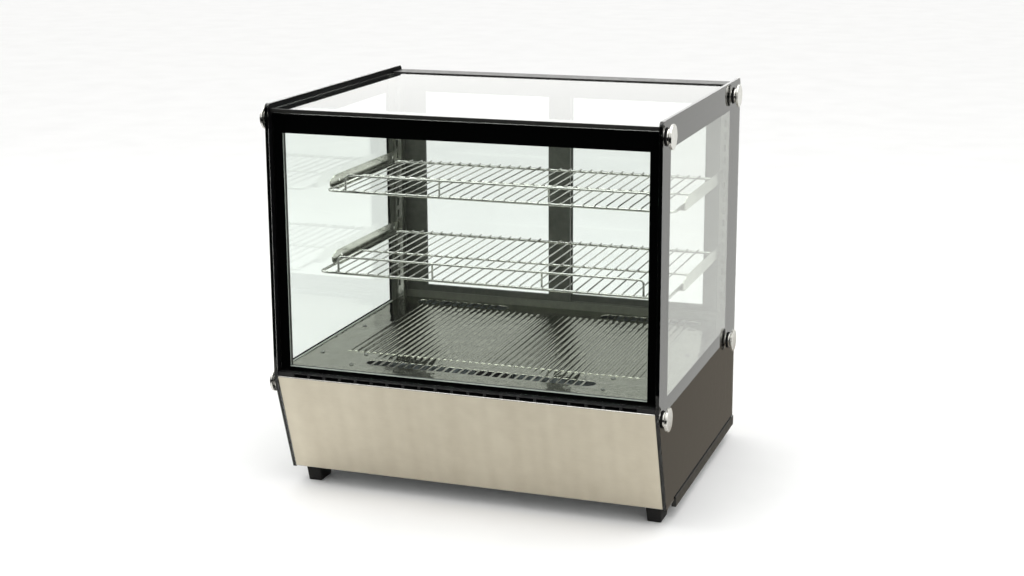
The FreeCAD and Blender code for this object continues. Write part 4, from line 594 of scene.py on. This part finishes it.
deck_low, deck_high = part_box("deck")
side_line = deck_high.x + mm(0.2)
front_line = deck_low.y + mm(1.5)
deck_top = deck_low.z + mm(1.9)
rear_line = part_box("left_rear_post")[0].y - mm(1)
deck_corners = [(-side_line, rear_line, deck_top), (-side_line, front_line, deck_top),
                (side_line, front_line, deck_top), (side_line, rear_line, deck_top)]
make_bead("deck_sealant_bead", bead_path(deck_corners), DECK_BEAD, silicone, "case")

frame_low, frame_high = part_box("front_frame")
frame_places = [v.co for v in nodes["front_frame"].data.vertices]
bar_x = max(p.x for p in frame_places if p.x < frame_high.x - mm(1)) - mm(0.3)
bar_low = min(p.z for p in frame_places if p.z > frame_low.z + mm(1)) + mm(0.3)
bar_high = max(p.z for p in frame_places if p.z < frame_high.z - mm(1)) - mm(0.3)
seal_y = frame_low.y + mm(0.9)
window_corners = [(-bar_x, seal_y, bar_high), (-bar_x, seal_y, bar_low),
                  (bar_x, seal_y, bar_low), (bar_x, seal_y, bar_high)]
make_bead("window_sealant_bead", bead_path(window_corners), WINDOW_BEAD, silicone, "case")

panel_low, panel_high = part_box("front_panel")
hem_y = panel_low.y + mm(1.2)
hem_z = panel_high.z + mm(0.2)
hem_ends = [(panel_low.x + mm(1), hem_y, hem_z), (panel_high.x - mm(1), hem_y, hem_z)]
make_bead("front_panel_hem", hem_ends, HEM, polished_steel, "case")

# %% [markdown]
# ## Display, rocker and button marks
#
# The controller shows two seven-segment figures behind its smoked window. The rockers carry the usual
# bar and ring for on and off, and the buttons an arrow or a dot, all in white pad print. Each is a thin
# raised shape on the face it belongs to, and it rides on the same body as that face.


# %% Flat shapes, and the display figures
def flat_shape(bm, outline, thick, to_world, hole=None):
    """A thin prism of an outline of (across, up) points in millimetres, placed by a matrix. Out is +Y."""
    loops = [outline] if hole is None else [outline, hole]
    rings = []
    for points in loops:
        for out in (0, thick):
            rings.append([bm.verts.new(to_world @ Vector((mm(u), mm(out), mm(v)))) for u, v in points])
    for k in range(0, len(rings), 2):
        count = len(rings[k])
        for i in range(count):
            j = (i + 1) % count
            bm.faces.new([rings[k][i], rings[k][j], rings[k + 1][j], rings[k + 1][i]])
    if hole is None:
        bm.faces.new(rings[0])
        bm.faces.new(rings[1])
    else:
        for inner, outer in ((2, 0), (3, 1)):
            count = len(outline)
            for i in range(count):
                j = (i + 1) % count
                bm.faces.new([rings[outer][i], rings[outer][j], rings[inner][j], rings[inner][i]])


def make_led():
    material, tree, place = start_material("red_led_segment")
    glow = node(tree, "TexNoise", {"Vector": stretched(tree, place, (3, 3, 3)), "Detail": 1.0})
    colour = ramp(tree, glow.outputs["Fac"], [(0.3, "D8241A"), (0.7, "F2392A")])
    shader = node(tree, "BsdfPrincipled", {"Base Color": colour, "Roughness": 0.3,
                                           "Emission Color": linear("F0301F"), "Emission Strength": 0.7})
    show(tree, shader)
    return material


SEGMENTS = {  # middle (across, up) and direction of each bar, for a figure 5 wide and 10 high
    "a": (0, 5, 0), "b": (2.5, 2.5, 1), "c": (2.5, -2.5, 1), "d": (0, -5, 0),
    "e": (-2.5, -2.5, 1), "f": (-2.5, 2.5, 1), "g": (0, 0, 0),
}
FIGURES = ["acdefg", "acdfg"]
FIGURE_PITCH = 10.0
LONG, WIDE = 2.05, 0.55  # half the length and half the width of a bar
BAR = [(-LONG, 0), (-LONG + WIDE, WIDE), (LONG - WIDE, WIDE), (LONG, 0), (LONG - WIDE, -WIDE),
       (-LONG + WIDE, -WIDE)]
SUNK = 0.05  # how far a mark is let into its face
FIGURE_INK, ROCKER_INK, BUTTON_INK = 0.15, 0.18, 0.17  # thickness of the marks
window_low, window_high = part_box("controller_window")
window_middle = (window_low + window_high) / 2
bm = bmesh.new()
for order, lit in enumerate(FIGURES):
    # from behind, the reader's right is -X
    figure_x = window_middle.x + mm(FIGURE_PITCH * (0.5 - order))
    to_world = (Matrix.Translation((figure_x, window_high.y - mm(SUNK), window_middle.z))
                @ Matrix.Diagonal((-1, 1, 1, 1)))
    for segment in lit:
        across, height, upright = SEGMENTS[segment]
        bar = [(v, u) if upright else (u, v) for u, v in BAR]
        flat_shape(bm, [(across + u, height + v) for u, v in bar], FIGURE_INK, to_world)
finish_mesh("display_figures", bm, make_led(), "case")

# %% Rocker and button marks
joints = {joint["child"]: joint for joint in frame["joints"]}
ROCKER_TILT = math.radians(9)  # of the whole rocker, at rest
FACE_LEAN = math.radians(6.7)  # of each half of its face, from the middle
FACE_OUT, MARK_HEIGHT = 3.2, 5.6  # from the pivot


def circle(radius, sides):
    return [(radius * math.cos(math.tau * k / sides), radius * math.sin(math.tau * k / sides))
            for k in range(sides)]


RING = circle(1.7, 24)
RING_HOLE = [(u * 0.68, v * 0.68) for u, v in RING]
STROKE = [(-0.3, -1.7), (0.3, -1.7), (0.3, 1.7), (-0.3, 1.7)]
for label in ("power_rocker", "light_rocker"):
    pivot = Matrix.Translation(joints[label + "_body"]["pos_m"]) @ Matrix.Rotation(ROCKER_TILT, 4, "X")
    bm = bmesh.new()
    for half, outline, hole in ((1, STROKE, None), (-1, RING, RING_HOLE)):
        place = Matrix.Translation((0, mm(FACE_OUT), mm(MARK_HEIGHT * half)))
        face = pivot @ place @ Matrix.Rotation(-FACE_LEAN * half, 4, "X")
        flat_shape(bm, outline, ROCKER_INK, face, hole)
    finish_mesh(label + "_marks", bm, white_print, label + "_body")

ARROW = [(-1.5, -1.0), (1.5, -1.0), (0, 1.5)]
BUTTON_MARKS = {"set_button": circle(1.1, 16), "up_button": ARROW, "down_button": [(u, -v) for u, v in ARROW]}
for label, outline in BUTTON_MARKS.items():
    low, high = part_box(label)
    middle = (low + high) / 2
    bm = bmesh.new()
    flat_shape(bm, outline, BUTTON_INK, Matrix.Translation((middle.x, high.y - mm(SUNK), middle.z)))
    finish_mesh(label + "_mark", bm, white_print, label + "_body")

# %% [markdown]
# ## The studio
#
# A plain pale floor, one large soft light overhead and two soft lights at the sides stand for a studio.
# Black gloss and bright metal show only what they reflect, so a studio stands black flags in front of
# such a case and pale walls beside and behind it. The cards here are seen by reflections alone, and the
# floor and the room darken towards the front in reflections alone too.


# %% Floor and cards
def mirrored_once(tree):
    """1 for a ray that a shiny piece has sent on, and 0 for one straight from the camera."""
    depth = node(tree, "LightPath").outputs["Glossy Depth"]
    return node(tree, "Math", {0: depth, 1: 0.5}, operation="GREATER_THAN").outputs[0]


def make_floor_finish(name):
    material, tree, place = start_material(name)
    cloud = node(tree, "TexNoise", {"Vector": stretched(tree, place, (900, 900, 900)), "Detail": 2.0})
    shade = ramp(tree, cloud.outputs["Fac"], [(0.3, "F7F7F6"), (0.7, "FBFBFA")])
    dim = node(tree, "MapRange", {"Value": node(tree, "SeparateXYZ", {"Vector": place}).outputs["Y"],
                                  "From Min": -1.2, "From Max": -0.3, "To Min": 0.95, "To Max": 0.25})
    share = node(tree, "Math", {0: dim.outputs[0], 1: mirrored_once(tree)}, operation="MULTIPLY")
    pale = node(tree, "BsdfPrincipled", {"Base Color": shade, "Roughness": 0.8, "Specular IOR Level": 0.1})
    dark = node(tree, "Emission", {"Color": linear("2A2825")})
    show(tree, node(tree, "MixShader", {0: share.outputs[0], 1: pale.outputs[0], 2: dark.outputs[0]}))
    return material


def make_glow(name, colour, strength):
    material, tree, place = start_material(name)
    show(tree, node(tree, "Emission", {"Color": linear(colour), "Strength": strength}))
    return material


def make_card(name, corners, finish):
    """A flat card of the studio."""
    mesh = bpy.data.meshes.new(name)
    mesh.from_pydata(corners, [], [list(range(len(corners)))])
    mesh.materials.append(finish)
    card = bpy.data.objects.new(name, mesh)
    bpy.context.scene.collection.objects.link(card)
    return card


HALF = 14
make_card("studio_floor", [(-HALF, -HALF, 0), (HALF, -HALF, 0), (HALF, HALF, 0), (-HALF, HALF, 0)],
          make_floor_finish("studio_floor"))

FRONT, SIDE, REAR = -4, 0.49, 3
CARDS = [  # name, corners, colour and strength
    ("front_flag", [(-6, -0.75, 0.002), (6, -0.75, 0.002), (6, FRONT, 0.3), (-6, FRONT, 0.3)], "141414", 1.0),
    ("high_flag", [(-6, FRONT, 0.3), (6, FRONT, 0.3), (6, FRONT, 1.0), (-6, FRONT, 1.0)], "1E1E1E", 1.0),
    ("front_wall", [(-1, FRONT, 1.0), (6, FRONT, 1.0), (6, FRONT, 3.4), (-1, FRONT, 3.4)], "F4F4F1", 1.1),
    ("side_floor", [(0.345, -0.5, 0.001), (SIDE, -0.5, 0.001), (SIDE, 2.6, 0.001), (0.345, 2.6, 0.001)],
     "A79F92", 0.8),
    ("side_wall", [(SIDE, -0.3, 0), (SIDE, 2.6, 0), (SIDE, 2.6, 3), (SIDE, -0.3, 3)], "F7F7F3", 0.95),
    ("rear_wall", [(-4, REAR, 0.4), (0.29, REAR, 0.4), (0.29, REAR, 3), (-4, REAR, 3)], "FBFBF9", 1.75),
]
for name, corners, colour, strength in CARDS:
    card = make_card(name, corners, make_glow(name, colour, strength))
    for kind in ("camera", "diffuse", "transmission", "volume_scatter", "shadow"):
        setattr(card, "visible_" + kind, False)
print("floor and", len(CARDS), "cards")


# %% Lights and room
def add_light(name, place, aim, size, watts):
    lamp = bpy.data.lights.new(name, "AREA")
    lamp.shape, lamp.size, lamp.size_y, lamp.energy = "RECTANGLE", size[0], size[1], watts
    light = bpy.data.objects.new(name, lamp)
    light.location = place
    light.rotation_mode = "QUATERNION"
    light.rotation_quaternion = (Vector(aim) - Vector(place)).to_track_quat("-Z", "Y")
    bpy.context.scene.collection.objects.link(light)
    print(name, watts, "W")


add_light("overhead_softbox", (0.2, -0.3, 2.6), (0, 0, 0.3), (2.6, 2.0), 26)
add_light("left_softbox", (-2.4, -1.2, 1.6), (0, 0, 0.35), (1.2, 1.8), 12)
add_light("right_softbox", (2.3, -1.9, 1.9), (0, 0, 0.3), (1.2, 1.6), 10)

world = bpy.data.worlds.new("white_studio")
bpy.context.scene.world = world
world.use_nodes = True
world.node_tree.nodes.clear()
sky = world.node_tree
white = node(sky, "Background", {"Color": linear("FEFEFE"), "Strength": 1.0})
direction = node(sky, "SeparateXYZ", {"Vector": node(sky, "TexCoord").outputs["Generated"]})
ahead = node(sky, "MapRange", {"Value": direction.outputs["Y"], "From Min": -0.55, "From Max": 0.1,
                               "To Min": 0.03, "To Max": 0.62}, interpolation_type="SMOOTHSTEP")
height = node(sky, "MapRange", {"Value": direction.outputs["Z"], "From Min": 0.3, "From Max": 0.75,
                                "To Min": 0.0, "To Max": 1.5}, interpolation_type="SMOOTHSTEP")
level_light = node(sky, "Math", {0: ahead.outputs[0], 1: height.outputs[0]}, operation="ADD")
room = node(sky, "Background", {"Color": linear("FFFEFA"), "Strength": level_light.outputs[0]})
either = node(sky, "MixShader", {0: mirrored_once(sky), 1: white.outputs[0], 2: room.outputs[0]})
node(sky, "OutputWorld", {"Surface": either.outputs[0]})
bpy.context.scene.view_settings.view_transform = "Standard"

# %% [markdown]
# ## The camera
#
# The case is seen from a little to the right of its front and from above, at eye height for someone who
# stands across a counter. The lens is about 60 mm, so the uprights stay nearly parallel.

# %% Camera
CAMERA_PLACE = (0.9739, -2.7890, 1.0804)
CAMERA_TURN = 19.362
CAMERA_TILT = 12.903
CAMERA_ROLL = -0.302
LENS_MM = 59.95546875
DOWN_SHIFT = 0.0390625

turn, tilt, roll = (math.radians(a) for a in (CAMERA_TURN, CAMERA_TILT, CAMERA_ROLL))
back = Vector((math.sin(turn) * math.cos(tilt), -math.cos(turn) * math.cos(tilt), math.sin(tilt)))
level = Vector((math.cos(turn), math.sin(turn), 0))
above = back.cross(level)
right = math.cos(roll) * level + math.sin(roll) * above
up = -math.sin(roll) * level + math.cos(roll) * above
lens = bpy.data.cameras.new("camera")
lens.sensor_width = 36
lens.lens = LENS_MM
lens.shift_y = -DOWN_SHIFT
camera = bpy.data.objects.new("camera", lens)
camera.matrix_world = Matrix((right, up, back)).transposed().to_4x4()
camera.location = CAMERA_PLACE
bpy.context.scene.collection.objects.link(camera)
bpy.context.scene.camera = camera
print("lens", round(lens.lens, 1), "mm")
